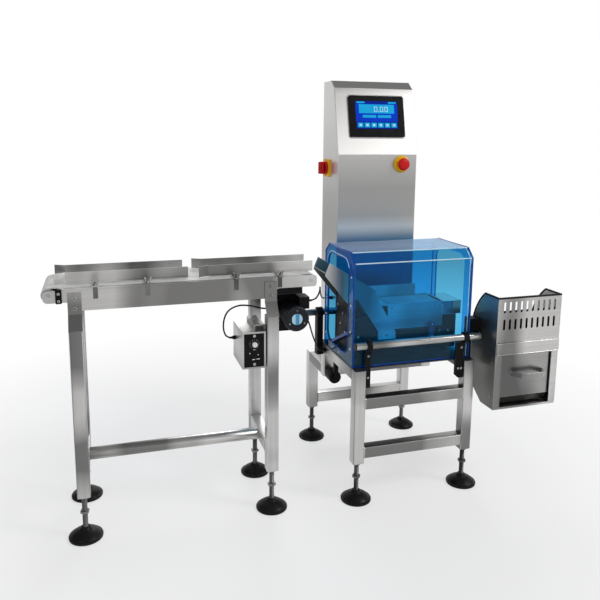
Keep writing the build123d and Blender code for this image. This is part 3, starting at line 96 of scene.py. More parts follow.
class Paint:
    """A node material with one Principled shader and helpers for its inputs."""

    def __init__(self, name, colour, roughness, metallic=0.0, **fixed):
        self.material = bpy.data.materials.new(name)
        self.material.use_nodes = True
        self.tree = self.material.node_tree
        self.shader = self.tree.nodes["Principled BSDF"]
        self.colour, self.roughness = colour, roughness
        self.shader.inputs["Base Color"].default_value = (*colour, 1)
        self.shader.inputs["Roughness"].default_value = roughness
        self.shader.inputs["Metallic"].default_value = metallic
        for socket, value in fixed.items():
            self.shader.inputs[socket.replace("_", " ")].default_value = value
        self.coordinates = self.tree.nodes.new("ShaderNodeTexCoord").outputs["Object"]
        self.height = None

    def node(self, kind, **values):
        """Adds a node, sets its properties and fills its inputs by name."""
        made = self.tree.nodes.new("ShaderNode" + kind)
        for key, value in values.items():
            if hasattr(made, key):
                setattr(made, key, value)
            elif isinstance(value, bpy.types.NodeSocket):
                self.tree.links.new(value, made.inputs[key])
            else:
                made.inputs[key].default_value = value
        return made

    def noise(self, scale, stretch=(1, 1, 1), detail=3.0):
        """Noise whose grain can be stretched along an axis."""
        mapping = self.node("Mapping", Vector=self.coordinates, Scale=stretch)
        return self.node("TexNoise", Vector=mapping.outputs[0], Scale=scale, Detail=detail).outputs[0]

    def spread(self, value, low, high, from_low=0.3, from_high=0.7):
        """Maps a noise to a range."""
        made = self.node("MapRange", Value=value)
        for key, number in (("From Min", from_low), ("From Max", from_high), ("To Min", low),
                            ("To Max", high)):
            made.inputs[key].default_value = number
        return made.outputs[0]

    def vary_roughness(self, value, amount):
        """Links the roughness to a noise round its middle value."""
        spread = self.spread(value, self.roughness - amount, self.roughness + amount)
        self.tree.links.new(spread, self.shader.inputs["Roughness"])

    def vary_colour(self, value, other, low=0.3, high=0.7):
        """Blends the colour towards another one by a noise."""
        mix = self.node("Mix", data_type="RGBA")
        self.tree.links.new(self.spread(value, 0, 1, low, high), mix.inputs[0])
        before = self.shader.inputs["Base Color"].links
        if before:
            self.tree.links.new(before[0].from_socket, mix.inputs[6])
        else:
            mix.inputs[6].default_value = (*self.colour, 1)
        mix.inputs[7].default_value = (*other, 1)
        self.tree.links.new(mix.outputs[2], self.shader.inputs["Base Color"])

    def bump(self, value, strength, distance):
        """Adds one more layer of relief."""
        made = self.node("Bump", Height=value, Strength=strength, Distance=distance)
        if self.height:
            self.tree.links.new(self.height, made.inputs["Normal"])
        self.height = made.outputs[0]
        self.tree.links.new(self.height, self.shader.inputs["Normal"])


def fill_ramp(ramp, stops):
    """Sets a colour ramp's stops, each a position and a colour."""
    while len(ramp.elements) < len(stops):
        ramp.elements.new(0.5)
    for element, (position, colour) in zip(ramp.elements, stops):
        element.position = position
        element.color = (*colour, 1)


def greys(stops):
    """Gives each stop's grey as a colour."""
    return [(position, (grey, grey, grey)) for position, grey in stops]


GRAIN = {"x": (0.02, 1, 1), "y": (1, 0.02, 1), "z": (1, 1, 0.02)}
CLOUD = {"x": (1, 0.3, 0.3), "y": (0.3, 1, 0.3), "z": (0.3, 0.3, 1)}


def brushed(name, colour, dark, roughness, axis, streak=900, metallic=1.0):
    """Brushed sheet metal with its grain along an axis and broad darker clouds of painted reflection."""
    paint = Paint(name, colour, roughness, metallic)
    fine = paint.noise(streak, GRAIN[axis], 4)
    broad = paint.noise(streak / 8, GRAIN[axis], 3)
    reflection_and_roughness_cloud = paint.noise(5, CLOUD[axis], 1)
    paint.vary_colour(broad, dark, 0.35, 0.95)
    # Painted reflection: broad clouds darken the colour to about a third, standing in for brushed steel's
    # cloudy reflections; the same noise also varies the roughness.
    paint.vary_colour(reflection_and_roughness_cloud, [value * 0.34 for value in colour], 0.42, 0.60)
    paint.vary_roughness(reflection_and_roughness_cloud, 0.03)
    paint.bump(fine, 0.10, 0.0002)
    return paint.material


STEEL, STEEL_DARK = (0.72, 0.712, 0.70), (0.58, 0.572, 0.56)
stainless = {a: brushed("stainless_" + a, STEEL, STEEL_DARK, 0.33, a) for a in "xyz"}
bright = {a: brushed("bright_" + a, (0.66, 0.66, 0.65), (0.54, 0.54, 0.54), 0.17, a, 1400) for a in "xyz"}
aluminium = brushed("aluminium", (0.62, 0.63, 0.64), (0.50, 0.51, 0.52), 0.34, "y")
drawer_steel = brushed("drawer_steel", (0.44, 0.435, 0.43), (0.34, 0.335, 0.33), 0.28, "x")
zinc = brushed("zinc", (0.62, 0.62, 0.60), (0.44, 0.43, 0.41), 0.24, "z", 600)
# Painted highlight: a pale metal given to bevels, tube corners and fold lines so that edges look as if they
# catch the light.
painted_edge_highlight = brushed("painted_edge_highlight", (0.86, 0.86, 0.85), (0.80, 0.80, 0.79), 0.30, "x", 300, metallic=0.35)
dark_zinc = brushed("dark_zinc", (0.30, 0.30, 0.29), (0.20, 0.20, 0.19), 0.32, "z", 600)


def column_with_painted_light():
    """Brushed sheet with painted light: painted reflection darkens its front downwards, a painted highlight
    runs along the bend, and the slope and left side are painted lighter.
    """
    paint = Paint("column_steel_painted_light", (0.42, 0.415, 0.41), 0.36, 1.0)
    place = paint.node("SeparateXYZ", Vector=paint.coordinates)
    facing = paint.node("SeparateXYZ", Vector=paint.node("NewGeometry").outputs["Normal"])
    tall = paint.node("ValToRGB")
    low_z, high_z = 0.8, 1.4
    paint.tree.links.new(paint.spread(place.outputs["Z"], 0, 1, low_z, high_z), tall.inputs[0])
    # Painted shade and highlight by height: the front darkens downwards, a bright line marks the bend and the
    # slope above it is lighter.
    stops = ((0.80, 0.34), (0.86, 0.62), (0.90, 0.42), (1.0, 0.38), (1.118, 0.52), (1.121, 0.98), (1.2, 0.82),
             (1.33, 0.62), (1.356, 0.42))
    fill_ramp(tall.color_ramp, [((height - low_z) / (high_z - low_z), (grey, grey * 0.99, grey * 0.975))
                                for height, grey in stops])
    front = paint.node("Mix", data_type="RGBA")
    paint.tree.links.new(paint.spread(facing.outputs["Y"], 0, 1, -0.3, -0.7), front.inputs[0])
    front.inputs[6].default_value = (0.56, 0.555, 0.55, 1)
    paint.tree.links.new(tall.outputs["Color"], front.inputs[7])
    # Painted light: faces turned to the left are made near white.
    mix = paint.node("Mix", data_type="RGBA")
    paint.tree.links.new(paint.spread(facing.outputs["X"], 1, 0, -0.9, -0.5), mix.inputs[0])
    paint.tree.links.new(front.outputs[2], mix.inputs[6])
    mix.inputs[7].default_value = (0.96, 0.955, 0.94, 1)
    paint.tree.links.new(mix.outputs[2], paint.shader.inputs["Base Color"])
    paint.vary_roughness(paint.noise(4, CLOUD["z"], 1), 0.03)
    paint.bump(paint.noise(600, GRAIN["z"], 4), 0.08, 0.0002)
    return paint.material


column_steel_painted_light = column_with_painted_light()


def moulded(name, colour, roughness, grain=900, relief=0.06, specular=0.5, **fixed):
    """Moulded plastic or rubber with a fine texture and faint dull patches."""
    paint = Paint(name, colour, roughness, Specular_IOR_Level=specular, **fixed)
    paler = [min(1, value * 1.22 + 0.004) for value in colour]
    paint.vary_colour(paint.noise(14, detail=5), paler, 0.45, 0.8)
    paint.vary_roughness(paint.noise(30, detail=4), 0.07)
    paint.bump(paint.noise(grain, detail=2), relief, 0.0003)
    return paint.material


black_metal = moulded("black_coating", (0.006, 0.006, 0.007), 0.40, 700, 0.10, specular=0.10)
black_plastic = moulded("black_plastic", (0.004, 0.004, 0.005), 0.30, specular=0.12)
black_rubber = moulded("black_rubber", (0.005, 0.005, 0.005), 0.42, 500, 0.14, specular=0.22)
motor_enamel = moulded("motor_enamel", (0.009, 0.012, 0.017), 0.34, specular=0.22)
smoked_lens = moulded("smoked_lens", (0.02, 0.05, 0.10), 0.08, 60, 0.02, Coat_Weight=1.0)
yellow_plastic = moulded("yellow_plastic", (0.92, 0.50, 0.01), 0.34, specular=0.3)
red_plastic = moulded("red_plastic", (0.66, 0.008, 0.008), 0.34, specular=0.25)
white_plastic = moulded("white_plastic", (0.78, 0.78, 0.76), 0.34)
pale_blue_plastic = moulded("pale_blue_plastic", (0.42, 0.66, 0.80), 0.30)
mid_blue_plastic = moulded("mid_blue_plastic", (0.06, 0.30, 0.56), 0.30)
cable_jacket = moulded("cable_jacket", (0.008, 0.008, 0.009), 0.42, 1200, 0.08, specular=0.35)
grey_belt = moulded("grey_belt", (0.30, 0.33, 0.34), 0.5, 1500, 0.2)
belt_cloth = moulded("belt_cloth", (0.72, 0.72, 0.70), 0.50, 1500, 0.2)
worn_edge = brushed("worn_edge", (0.20, 0.20, 0.21), (0.07, 0.07, 0.07), 0.40, "x", 300)


def acrylic(name, tint, body, roughness, clear):
    """Tinted clear sheet: it lets shadow rays through, so what is under it stays lit."""
    paint = Paint(name, tint, roughness, Transmission_Weight=clear, IOR=1.24)
    paint.vary_colour(paint.noise(3, detail=2), body, 0.3, 0.7)
    paint.bump(paint.noise(6, detail=1), 0.02, 0.004)
    through = paint.node("BsdfTransparent", Color=(*[value ** 0.25 for value in tint], 1))
    mix = paint.node("MixShader")
    links, out = paint.tree.links, paint.tree.nodes["Material Output"]
    links.new(paint.node("LightPath").outputs["Is Shadow Ray"], mix.inputs[0])
    links.new(paint.shader.outputs[0], mix.inputs[1])
    links.new(through.outputs[0], mix.inputs[2])
    links.new(mix.outputs[0], out.inputs["Surface"])
    return paint.material


blue_acrylic = acrylic("blue_acrylic", (0.13, 0.60, 0.93), (0.10, 0.56, 0.92), 0.02, 0.98)
edge_acrylic = acrylic("edge_acrylic", (0.006, 0.075, 0.40), (0.01, 0.12, 0.52), 0.16, 0.25)
# Painted highlight for the hood's bends.
bend_highlight = moulded("bend_highlight", (0.66, 0.86, 0.96), 0.16)


def glowing(name, colour, strength):
    """A lit patch of a display under a faint glass sheen."""
    paint = Paint(name, [value * 0.1 for value in colour], 0.12, Specular_IOR_Level=0.12)
    paint.vary_roughness(paint.noise(40), 0.04)
    mix = paint.node("Mix", data_type="RGBA")
    paint.tree.links.new(paint.spread(paint.noise(18), 0, 1), mix.inputs[0])
    mix.inputs[6].default_value = (*colour, 1)
    mix.inputs[7].default_value = (*[value * 0.86 for value in colour], 1)
    paint.tree.links.new(mix.outputs[2], paint.shader.inputs["Emission Color"])
    paint.shader.inputs["Emission Strength"].default_value = strength
    return paint.material


screen_blue = glowing("screen_blue", (0.0, 0.045, 0.62), 0.85)
screen_pale = glowing("screen_pale", (0.01, 0.42, 0.80), 0.85)
screen_white = glowing("screen_white", (0.55, 0.86, 1.0), 0.85)
screen_dark = glowing("screen_dark", (0.0, 0.02, 0.30), 0.85)


# Mesh building

class Shape:
    """Collects the faces of one piece in machine millimetres."""

    def __init__(self):
        self.mesh = bmesh.new()
        self.index = 0

    def skin(self, rings, closed=True, caps=True):
        """Joins rings of points into a surface."""
        rows = [[self.mesh.verts.new(point) for point in ring] for ring in rings]
        count = len(rows[0])
        for low, high in zip(rows, rows[1:]):
            for i in range(count if closed else count - 1):
                j = (i + 1) % count
                self.face((low[i], low[j], high[j], high[i]))
        if caps and closed:
            self.face(rows[0][::-1])
            self.face(rows[-1])

    def face(self, corners):
        """Adds one face with the shape's current material."""
        self.mesh.faces.new(corners).material_index = self.index

    def prism(self, axis, outline, low, high):
        """Adds an extruded outline; its points skip the axis that it runs along."""
        rank = "xyz".index(axis)
        rings = [[(*point[:rank], depth, *point[rank:]) for point in outline] for depth in (low, high)]
        self.skin(rings)

    def box(self, x0, x1, y0, y1, z0, z1):
        """Adds a block."""
        self.prism("z", ((x0, y0), (x1, y0), (x1, y1), (x0, y1)), z0, z1)

    def turn(self, axis, centre, profile, steps=48, start=0.0):
        """Adds a turned form; the profile gives radius and distance along the axis."""
        way = AXES[axis] if isinstance(axis, str) else Vector(axis).normalized()
        across = way.orthogonal().normalized()
        along = way.cross(across)
        middle = Vector(centre)
        rings = []
        for radius, distance in profile:
            radius = max(radius, 0.01)
            rings.append([
                middle + way * distance + (across * cos(a) + along * sin(a)) * radius
                for a in (start + 2 * pi * i / steps for i in range(steps))
            ])
        self.skin(rings)

    def bead(self, route, radius, closed=False, steps=10):
        """Adds a round bead along straight runs, mitred at their corners."""
        points = [Vector(point) for point in route]
        count = len(points)
        rings = []
        for i, point in enumerate(points):
            ahead = (points[(i + 1) % count] - point) if closed or i + 1 < count else None
            behind = (point - points[i - 1]) if closed or i else None
            ways = [way.normalized() for way in (behind, ahead) if way is not None]
            way = sum(ways, Vector()).normalized()
            stretch = 1 / max(0.5, way.dot(ways[0]))
            flat = ways[0].cross(ways[-1])
            across = flat.normalized() if flat.length > 0.01 else way.orthogonal().normalized()
            if rings and across.dot(last) < 0:
                across = -across
            if rings and flat.length <= 0.01:
                across = (last - way * last.dot(way)).normalized()
            along = way.cross(across)
            rings.append([point + across * radius * cos(a) + along * radius * stretch * sin(a)
                          for a in (2 * pi * k / steps for k in range(steps))])
            last = across
        if closed:
            rings.append(rings[0])
        self.skin(rings, caps=not closed)

    def thread(self, x, y, z0, z1, radius, depth, pitch, steps=24):
        """Adds an upright screw thread as one helical surface."""
        rows = int((z1 - z0) / pitch * 2)
        rings = []
        for row in range(rows + 1):
            reach = radius if row % 2 else radius - depth
            rings.append([
                (x + reach * cos(2 * pi * i / steps), y + reach * sin(2 * pi * i / steps),
                 z0 + (row / 2 + i / steps) * pitch)
                for i in range(steps)
            ])
        grid = [[self.mesh.verts.new(point) for point in ring] for ring in rings]
        for row in range(rows):
            for i in range(steps - 1):
                self.face((grid[row][i], grid[row][i + 1], grid[row + 1][i + 1], grid[row + 1][i]))
            if row + 3 <= rows:
                self.face((grid[row][-1], grid[row + 2][0], grid[row + 3][0], grid[row + 1][-1]))

    def piece(self, name, body, materials, slot, replaces=(), bevel=0.0, segments=2, smooth=32):
        """Turns the collected faces into a finished piece that rides on a body."""
        bmesh.ops.remove_doubles(self.mesh, verts=self.mesh.verts, dist=0.005)
        bmesh.ops.recalc_face_normals(self.mesh, faces=self.mesh.faces)
        self.mesh.transform(Matrix.Scale(MM, 4) @ Matrix.Translation(ORIGIN))
        data = bpy.data.meshes.new(name)
        self.mesh.to_mesh(data)
        self.mesh.free()
        data.shade_smooth()
        data.set_sharp_from_angle(angle=radians(smooth))
        for material in materials if isinstance(materials, (list, tuple)) else (materials,):
            data.materials.append(material)
        made = bpy.data.objects.new(name, data)
        bpy.context.scene.collection.objects.link(made)
        if bevel:
            soften(made, bevel, segments)
        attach(made, body)
        if replaces:
            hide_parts(*replaces)
        return made


def soften(thing, width, segments=2, edge_material=0):
    """Rounds the sharp edges of a piece."""
    bevel = thing.modifiers.new("edge", "BEVEL")
    bevel.width = width * MM
    bevel.segments = segments
    bevel.limit_method = "ANGLE"
    bevel.angle_limit = radians(32)
    bevel.harden_normals = True
    bevel.material = edge_material if edge_material else -1


def dress(name, material, bevel=0.6, segments=2, edge=None):
    """Gives a CAD node its finish and rounds its edges, which may be of another material: worn paint, or a
    painted highlight.
    """
    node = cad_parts[name]
    if not node.material_slots:
        node.data.materials.append(material)
    for slot in node.material_slots:
        slot.material = material
    if bevel:
        node.modifiers.new("joined", "WELD").merge_threshold = 0.00002
        flat = node.modifiers.new("flat", "DECIMATE")
        flat.decimate_type = "DISSOLVE"
        flat.angle_limit = radians(0.5)
        if edge:
            node.data.materials.append(edge)
        soften(node, bevel, segments, len(node.data.materials) - 1 if edge else 0)


# Leads: each route is repeated from the part's source

LEAD_DIAMETER = 5.2
LEADS = {
    "motor_lead_upper": (
        (-127, 92, 668), (-108, 92, 668), (-90, 106, 682), (-76, 134, 692), (-66, 164, 692),
        (-56, 196, 682), (-40, 238, 662), (-24, 282, 640), (-6, 326, 618), (10, 358, 602),
        (28, 392, 592), (49, 392, 592),
    ),
    "motor_lead_lower": (
        (-137, 164, 600), (-120, 164, 600), (-101, 177, 576), (-82, 202, 530), (-66, 224, 496),
        (-48, 248, 464), (-34, 270, 441), (-22, 286, 430), (-9, 286, 430),
    ),
    "speed_box_lead": (
        (-365, 148, 548), (-382, 148, 548), (-394, 148, 572), (-393, 147, 610), (-378, 146, 640),
        (-346, 144, 654), (-312, 141, 652), (-286, 137, 645), (-266, 133, 640), (-249, 133, 640),
    ),
}

for name, route in LEADS.items():
    curve = bpy.data.curves.new(name + "_cord", "CURVE")
    curve.dimensions = "3D"
    spline = curve.splines.new("NURBS")
    spline.points.add(len(route) - 1)
    for point, place in zip(spline.points, route):
        point.co = (*at(*place), 1)
    spline.order_u = 3
    spline.use_endpoint_u = True
    spline.resolution_u = 8
    curve.bevel_depth = LEAD_DIAMETER / 2 * MM
    curve.bevel_resolution = 5
    curve.use_fill_caps = True
    curve.materials.append(cable_jacket)
    cord = bpy.data.objects.new(name + "_cord", curve)
    bpy.context.scene.collection.objects.link(cord)
    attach(cord, "machine")
    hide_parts(name)


glands = Shape()
for name, route in LEADS.items():
    for end, inner in ((route[0], route[1]), (route[-1], route[-2])):
        out = (Vector(inner) - Vector(end)).normalized()
        face = Vector(end) - out * 9
        glands.turn(out, face, ((0, 0.2), (6.9, 0.2), (7.3, 0.6), (7.3, 4.0), (6.9, 4.4), (0, 4.4)), 6)
        glands.turn(out, face, ((5.9, 4.2), (5.9, 7.4), (5.2, 8.8), (3.8, 9.4), (3.5, 13.5), (3.1, 14.2),
                                (3.4, 14.6), (3.2, 18), (2.9, 18.6), (2.5, 18.8)), 24)
glands.piece("lead_glands", "machine", black_plastic, "black_plastic", ("cable_glands",), bevel=0.25)


# Square tube frames: their finishes are steel along x, y and z, then the weld and a painted highlight down
# the corners

WELD_SLOT, HIGHLIGHT_SLOT = 3, 4

def rounded_rectangle(half_u, half_v, radius, steps):
    """Rounded outline about its middle; the halves reach to the middles of its corners."""
    return [
        (su * half_u + radius * cos(a), sv * half_v + radius * sin(a))
        for su, sv, turn in ((1, 1, 0), (-1, 1, 1), (-1, -1, 2), (1, -1, 3))
        for a in (pi / 2 * (turn + i / steps) for i in range(steps + 1))
    ]


def rounded_square(side, steps):
    """Outline of a square tube's section about its middle."""
    half = side / 2 - TUBE_RADIUS
    return rounded_rectangle(half, half, TUBE_RADIUS, steps)


TUBE_RADIUS = 4.5
CORNER_STEPS = 6
HIGHLIGHT_STEPS = (2, 3)
TUBE_SECTION = rounded_square(TUBE, CORNER_STEPS)


def tube_run(shape, axis, centre, low, high):
    """Adds one square tube with its grain along it and a painted highlight down each corner."""
    shape.index = "xyz".index(axis)
    first = len(shape.mesh.faces)
    shape.prism(axis, [(u + centre[0], v + centre[1]) for u, v in TUBE_SECTION], low, high)
    shape.mesh.faces.ensure_lookup_table()
    for rank in range(0, len(TUBE_SECTION), CORNER_STEPS + 1):
        for step in HIGHLIGHT_STEPS:
            shape.mesh.faces[first + rank + step].material_index = HIGHLIGHT_SLOT


def weld(shape, axis, centre, depth, bead=2.4):
    """Adds the ground weld bead round the end of a tube."""
    shape.index = WELD_SLOT
    rank = "xyz".index(axis)
    path = rounded_square(TUBE - 0.6, 4)
    rings = []
    for i, (u, v) in enumerate(path + path[:1]):
        out = Vector((u, v)).normalized()
        size = bead * (0.86 + 0.14 * sin(i * 2.3))
        ring = []
        for a in (2 * pi * k / 6 for k in range(6)):
            reach = size * 0.5 * cos(a)
            point = [centre[0] + u + out.x * reach, centre[1] + v + out.y * reach]
            point.insert(rank, depth + size * sin(a))
            ring.append(point)
        rings.append(ring)
    shape.skin(rings, caps=False)


MID = TUBE / 2
LEFT_C, RIGHT_C = MID, FRAME_WIDTH - MID
REAR_C = FRAME_DEPTH - MID
POST_C = 340.0 - MID
LOW_RAIL_Z, FRONT_RAIL_Z, REAR_TOP_Z, DECK_Z = 149.0, 317.0, 361.0, 448.0
STAND_RAIL_Z, STAND_TOP_Z, STRAP_TOP_Z = 186.0, 640.0, 745.0
FRAME_FINISH_AND_HIGHLIGHT = [stainless["x"], stainless["y"], stainless["z"], zinc, painted_edge_highlight]

front = Shape()
for leg in (LEFT_C, RIGHT_C):
    tube_run(front, "z", (leg, MID), FOOT_Z, DECK_Z)
for bar in (LOW_RAIL_Z + MID, FRONT_RAIL_Z + MID):
    tube_run(front, "x", (MID, bar), TUBE - 1, FRAME_WIDTH - TUBE + 1)
    for end in (TUBE, FRAME_WIDTH - TUBE):
        weld(front, "x", (MID, bar), end)
front.piece("front_frame", "machine", FRAME_FINISH_AND_HIGHLIGHT, "stainless", ("weigh_frame_front",))

rear = Shape()
for leg in (LEFT_C, RIGHT_C):
    tube_run(rear, "z", (leg, REAR_C), FOOT_Z, REAR_TOP_Z)
    tube_run(rear, "z", (leg, POST_C), REAR_TOP_Z - TUBE, DECK_Z)
    tube_run(rear, "y", (leg, DECK_Z - MID), TUBE, POST_C - MID + 1)
    tube_run(rear, "y", (leg, REAR_TOP_Z - MID), POST_C + MID - 1, REAR_C - MID + 1)
    weld(rear, "y", (leg, DECK_Z - MID), TUBE + 0.5)
    weld(rear, "y", (leg, DECK_Z - MID), POST_C - MID)
    weld(rear, "y", (leg, REAR_TOP_Z - MID), REAR_C - MID)
for y, z in ((REAR_C, LOW_RAIL_Z + MID), (REAR_C, REAR_TOP_Z - MID), (POST_C, REAR_TOP_Z - MID)):
    tube_run(rear, "x", (y, z), TUBE - 1, FRAME_WIDTH - TUBE + 1)
    for end in (TUBE, FRAME_WIDTH - TUBE):
        weld(rear, "x", (y, z), end)
rear.piece("rear_frame", "machine", FRAME_FINISH_AND_HIGHLIGHT, "stainless", ("weigh_frame_rear",))

STRAP_FRONT_Y, SIDE_FRONT_Y = 58.0, 61.0
for name, leg_x in (("left_stand", STAND_X[0]), ("right_stand", STAND_X[1])):
    stand = Shape()
    middle = leg_x + MID
    for leg_y in STAND_Y:
        tube_run(stand, "z", (middle, leg_y + MID), STAND_FOOT_Z, STAND_TOP_Z)
    rail_z = STAND_RAIL_Z + MID
    tube_run(stand, "y", (middle, rail_z), STAND_Y[0] + TUBE - 1, STAND_Y[1] + 1)
    for joint in (STAND_Y[0] + TUBE, STAND_Y[1]):
        weld(stand, "y", (middle, rail_z), joint)
    stand.index = 2
    strap = ((STAND_Y[0], STAND_TOP_Z), (STRAP_FRONT_Y, 682), (STRAP_FRONT_Y, STRAP_TOP_Z),
             (SIDE_FRONT_Y, STRAP_TOP_Z), (SIDE_FRONT_Y, 681), (STAND_Y[0] + 4.5, STAND_TOP_Z))
    for flip in (False, True):
        outline = [(2 * LANE_Y - y if flip else y, z) for y, z in strap]
        stand.prism("x", outline, leg_x, leg_x + TUBE)
        leg_middle = STAND_Y[0] + MID
        weld(stand, "z", (middle, 2 * LANE_Y - leg_middle if flip else leg_middle), STAND_TOP_Z, bead=1.6)
    stand.piece(name, "machine", FRAME_FINISH_AND_HIGHLIGHT, "stainless",
                ("infeed_stand_left" if leg_x < -500 else "infeed_stand_right",))

dress("cross_tube", stainless["x"], 0.4)
dress("deck_plate", black_metal, 0.8, edge=worn_edge)


# Levelling feet

FEET = [(x, y, FOOT_Z) for x in (LEFT_C, RIGHT_C) for y in (MID, REAR_C)]
FEET += [(x + MID, y + MID, STAND_FOOT_Z) for x in STAND_X for y in STAND_Y]
PAD_PROFILE = (
    (0, 0), (47, 0), (49.5, 1), (50, 3), (50, 6), (49, 8), (46.5, 9.4), (45.6, 9.4), (44.8, 10.8),
    (41, 14.2), (36, 18), (29, 22.6), (22, 25.6), (18, 27.2), (16.6, 28.6), (14.5, 32.2), (12.4, 35),
    (8.6, 35), (8.3, 33), (0, 33),
)
pads, stems = Shape(), Shape()
for x, y, foot_z in FEET:
    pads.turn("z", (x, y, 0), PAD_PROFILE, 64)
    stems.turn("z", (x, y, 16), ((6.9, 0), (6.9, foot_z - 16 + 30)), 24)
    stems.thread(x, y, 33, foot_z + 4, 8, 1.1, 2.0)
    for nut_z, tall in ((78, 9), (foot_z - 7.5, 7)):
        stems.turn("z", (x, y, nut_z), ((8, 0), (12.2, 0), (13.8, 0.9), (13.8, tall - 0.9), (12.2, tall),
                                        (8, tall)), 6, start=x)
pads.piece("foot_pads", "machine", black_rubber, "black_rubber", ("levelling_pads",))
stems.piece("foot_screws", "machine", dark_zinc, "bright_steel", ("levelling_screws",), bevel=0.25)


# Weighing station

dress("weigh_base", black_metal, 2.0, 3, edge=worn_edge)
dress("load_cell", aluminium, 0.6)
dress("weigh_covers", stainless["x"], 0.5, edge=painted_edge_highlight)
dress("weigh_belt", grey_belt, 0)
dress("weigh_drive_roller", bright["y"], 0.4)
dress("weigh_tail_roller", bright["y"], 0.4)
dress("weigh_motor", black_metal, 0.4)
dress("outfeed_plate", bright["x"], 0.6, edge=painted_edge_highlight)
dress("feed_chute", stainless["x"], 0.6, edge=painted_edge_highlight)
dress("chute_support", black_metal, 1.0, edge=worn_edge)
dress("photo_eye", smoked_lens, 1.2, 2, edge=painted_edge_highlight)
EYE_LOW, EYE_HIGH = solid("photo_eye")
lenses = Shape()
eye_x = (EYE_LOW.x + EYE_HIGH.x) / 2
for z, radius in ((EYE_LOW.z + 11, 4.4), (EYE_HIGH.z - 11, 3.0)):
    lenses.turn("y", (eye_x, EYE_LOW.y, z),
                ((0, 0.4), (radius, 0.4), (radius, -0.8), (radius * 0.7, -1.6), (0, -1.9)), 24)
lenses.piece("eye_lenses", "machine", pale_blue_plastic, "clear_lens")
dress("pipes", bright["x"], 0)
dress("pipe_end_caps", black_plastic, 1.0, 3)
dress("pipe_brackets", black_metal, 1.2, 3, edge=worn_edge)
dress("hood", blue_acrylic, 1.6, 3)

HOOD_LOW, HOOD_HIGH = solid("hood")
HOOD_WALL = 5.0
BEVEL_Z, TOP_Z = 791.0, HOOD_HIGH.z
BEVEL_FRONT_Y, BEVEL_REAR_Y = 61.0, 262.0
ARCH_FRONT_Y, ARCH_REAR_Y, ARCH_LOW_Z, ARCH_HIGH_Z, ARCH_RADIUS = 75.0, 268.0, 480.0, 792.0, 38.0


def arch_outline(grow, steps=8):
    """Outline of the hood's end opening, moved outwards into the wall."""
    centre_y, centre_z = (ARCH_FRONT_Y + ARCH_REAR_Y) / 2, (ARCH_LOW_Z + ARCH_HIGH_Z) / 2
    half_y = (ARCH_REAR_Y - ARCH_FRONT_Y) / 2 - ARCH_RADIUS
    half_z = (ARCH_HIGH_Z - ARCH_LOW_Z) / 2 - ARCH_RADIUS
    return [(centre_y + y, centre_z + z)
            for y, z in rounded_rectangle(half_y, half_z, ARCH_RADIUS + grow, steps)]


trim = Shape()
hood_end = [(HOOD_LOW.y + 2, HOOD_LOW.z + 2), (HOOD_LOW.y + 2, BEVEL_Z), (BEVEL_FRONT_Y, TOP_Z - 2),
            (BEVEL_REAR_Y, TOP_Z - 2), (HOOD_HIGH.y - 2, BEVEL_Z), (HOOD_HIGH.y - 2, HOOD_LOW.z + 2)]
for end_x in (HOOD_LOW.x + 1.4, HOOD_HIGH.x - 1.4):
    trim.bead([(end_x, y, z) for y, z in hood_end], 3.2)
trim.bead([(HOOD_LOW.x + 1.4, y, z) for y, z in arch_outline(2.6)], 3.0, closed=True)
for y, z in (hood_end[0], hood_end[-1]):
    trim.bead([(HOOD_LOW.x + 1.4, y, z), (HOOD_HIGH.x - 1.4, y, z)], 1.6)
BRACE_LOW, BRACE_HIGH, BRACE_WIDTH = (226.0, 484.0), (ARCH_FRONT_Y, 560.0), 9.0
trim.prism("x", ((BRACE_LOW[0], BRACE_LOW[1] - 7), (BRACE_HIGH[0], BRACE_HIGH[1] - BRACE_WIDTH), BRACE_HIGH,
                 (BRACE_LOW[0], BRACE_LOW[1] + 4)), HOOD_LOW.x + 0.5, HOOD_LOW.x + HOOD_WALL - 0.5)
trim.piece("hood_trim", "hood_cover", edge_acrylic, "blue_acrylic", smooth=50)

# Painted highlights: pale strips along the hood's bends, its right front edge and round the end opening stand
# in for light caught by the folded sheet.
bend_highlights = Shape()
for y, z in ((HOOD_LOW.y + 1.0, BEVEL_Z - 0.5), (BEVEL_FRONT_Y - 0.5, TOP_Z - 1.2)):
    bend_highlights.bead([(HOOD_LOW.x + 5, y, z), (HOOD_HIGH.x - 5, y, z)], 1.9)
bend_highlights.bead([(HOOD_HIGH.x - 11, HOOD_LOW.y + 0.6, HOOD_LOW.z + 4),
            (HOOD_HIGH.x - 11, HOOD_LOW.y + 0.6, BEVEL_Z - 1),
            (HOOD_HIGH.x - 11, BEVEL_FRONT_Y - 1, TOP_Z - 0.8)], 1.1)
bend_highlights.bead([(HOOD_LOW.x - 0.6, y, z) for y, z in arch_outline(6.5)[2:16]], 1.3)
bend_highlights.piece("hood_bend_highlights", "hood_cover", bend_highlight, "blue_acrylic", smooth=50)


def bolt_head(shape, axis, centre, radius, tall, way=-1):
    """Adds a domed socket head with a sunk recess, standing on a face."""
    profile = ((0, 0), (1, 0), (1, 0.45), (0.86, 0.82), (0.52, 1), (0.44, 1), (0.40, 0.5), (0, 0.5))
    shape.turn(axis, centre, [(radius * r, way * tall * d) for r, d in profile], 20)


hood_bolts = Shape()
for y, z in ((50, 744), (50, 652), (50, 566), (50, 508), (284, 700), (284, 566), (284, 498), (150, 466),
             (210, 466)):
    bolt_head(hood_bolts, "x", (HOOD_LOW.x, y, z), 3.6, 2.4)
hood_bolts.piece("hood_bolts", "hood_cover", white_plastic, "bright_steel")


# Control column

dress("column_shell", column_steel_painted_light, 1.6, 3, edge=painted_edge_highlight)
dress("hmi_bezel", black_plastic, 1.2, 3)
dress("isolator_plate", yellow_plastic, 1.2, 3)
dress("isolator_handle", red_plastic, 1.6, 3)


# Reject bin

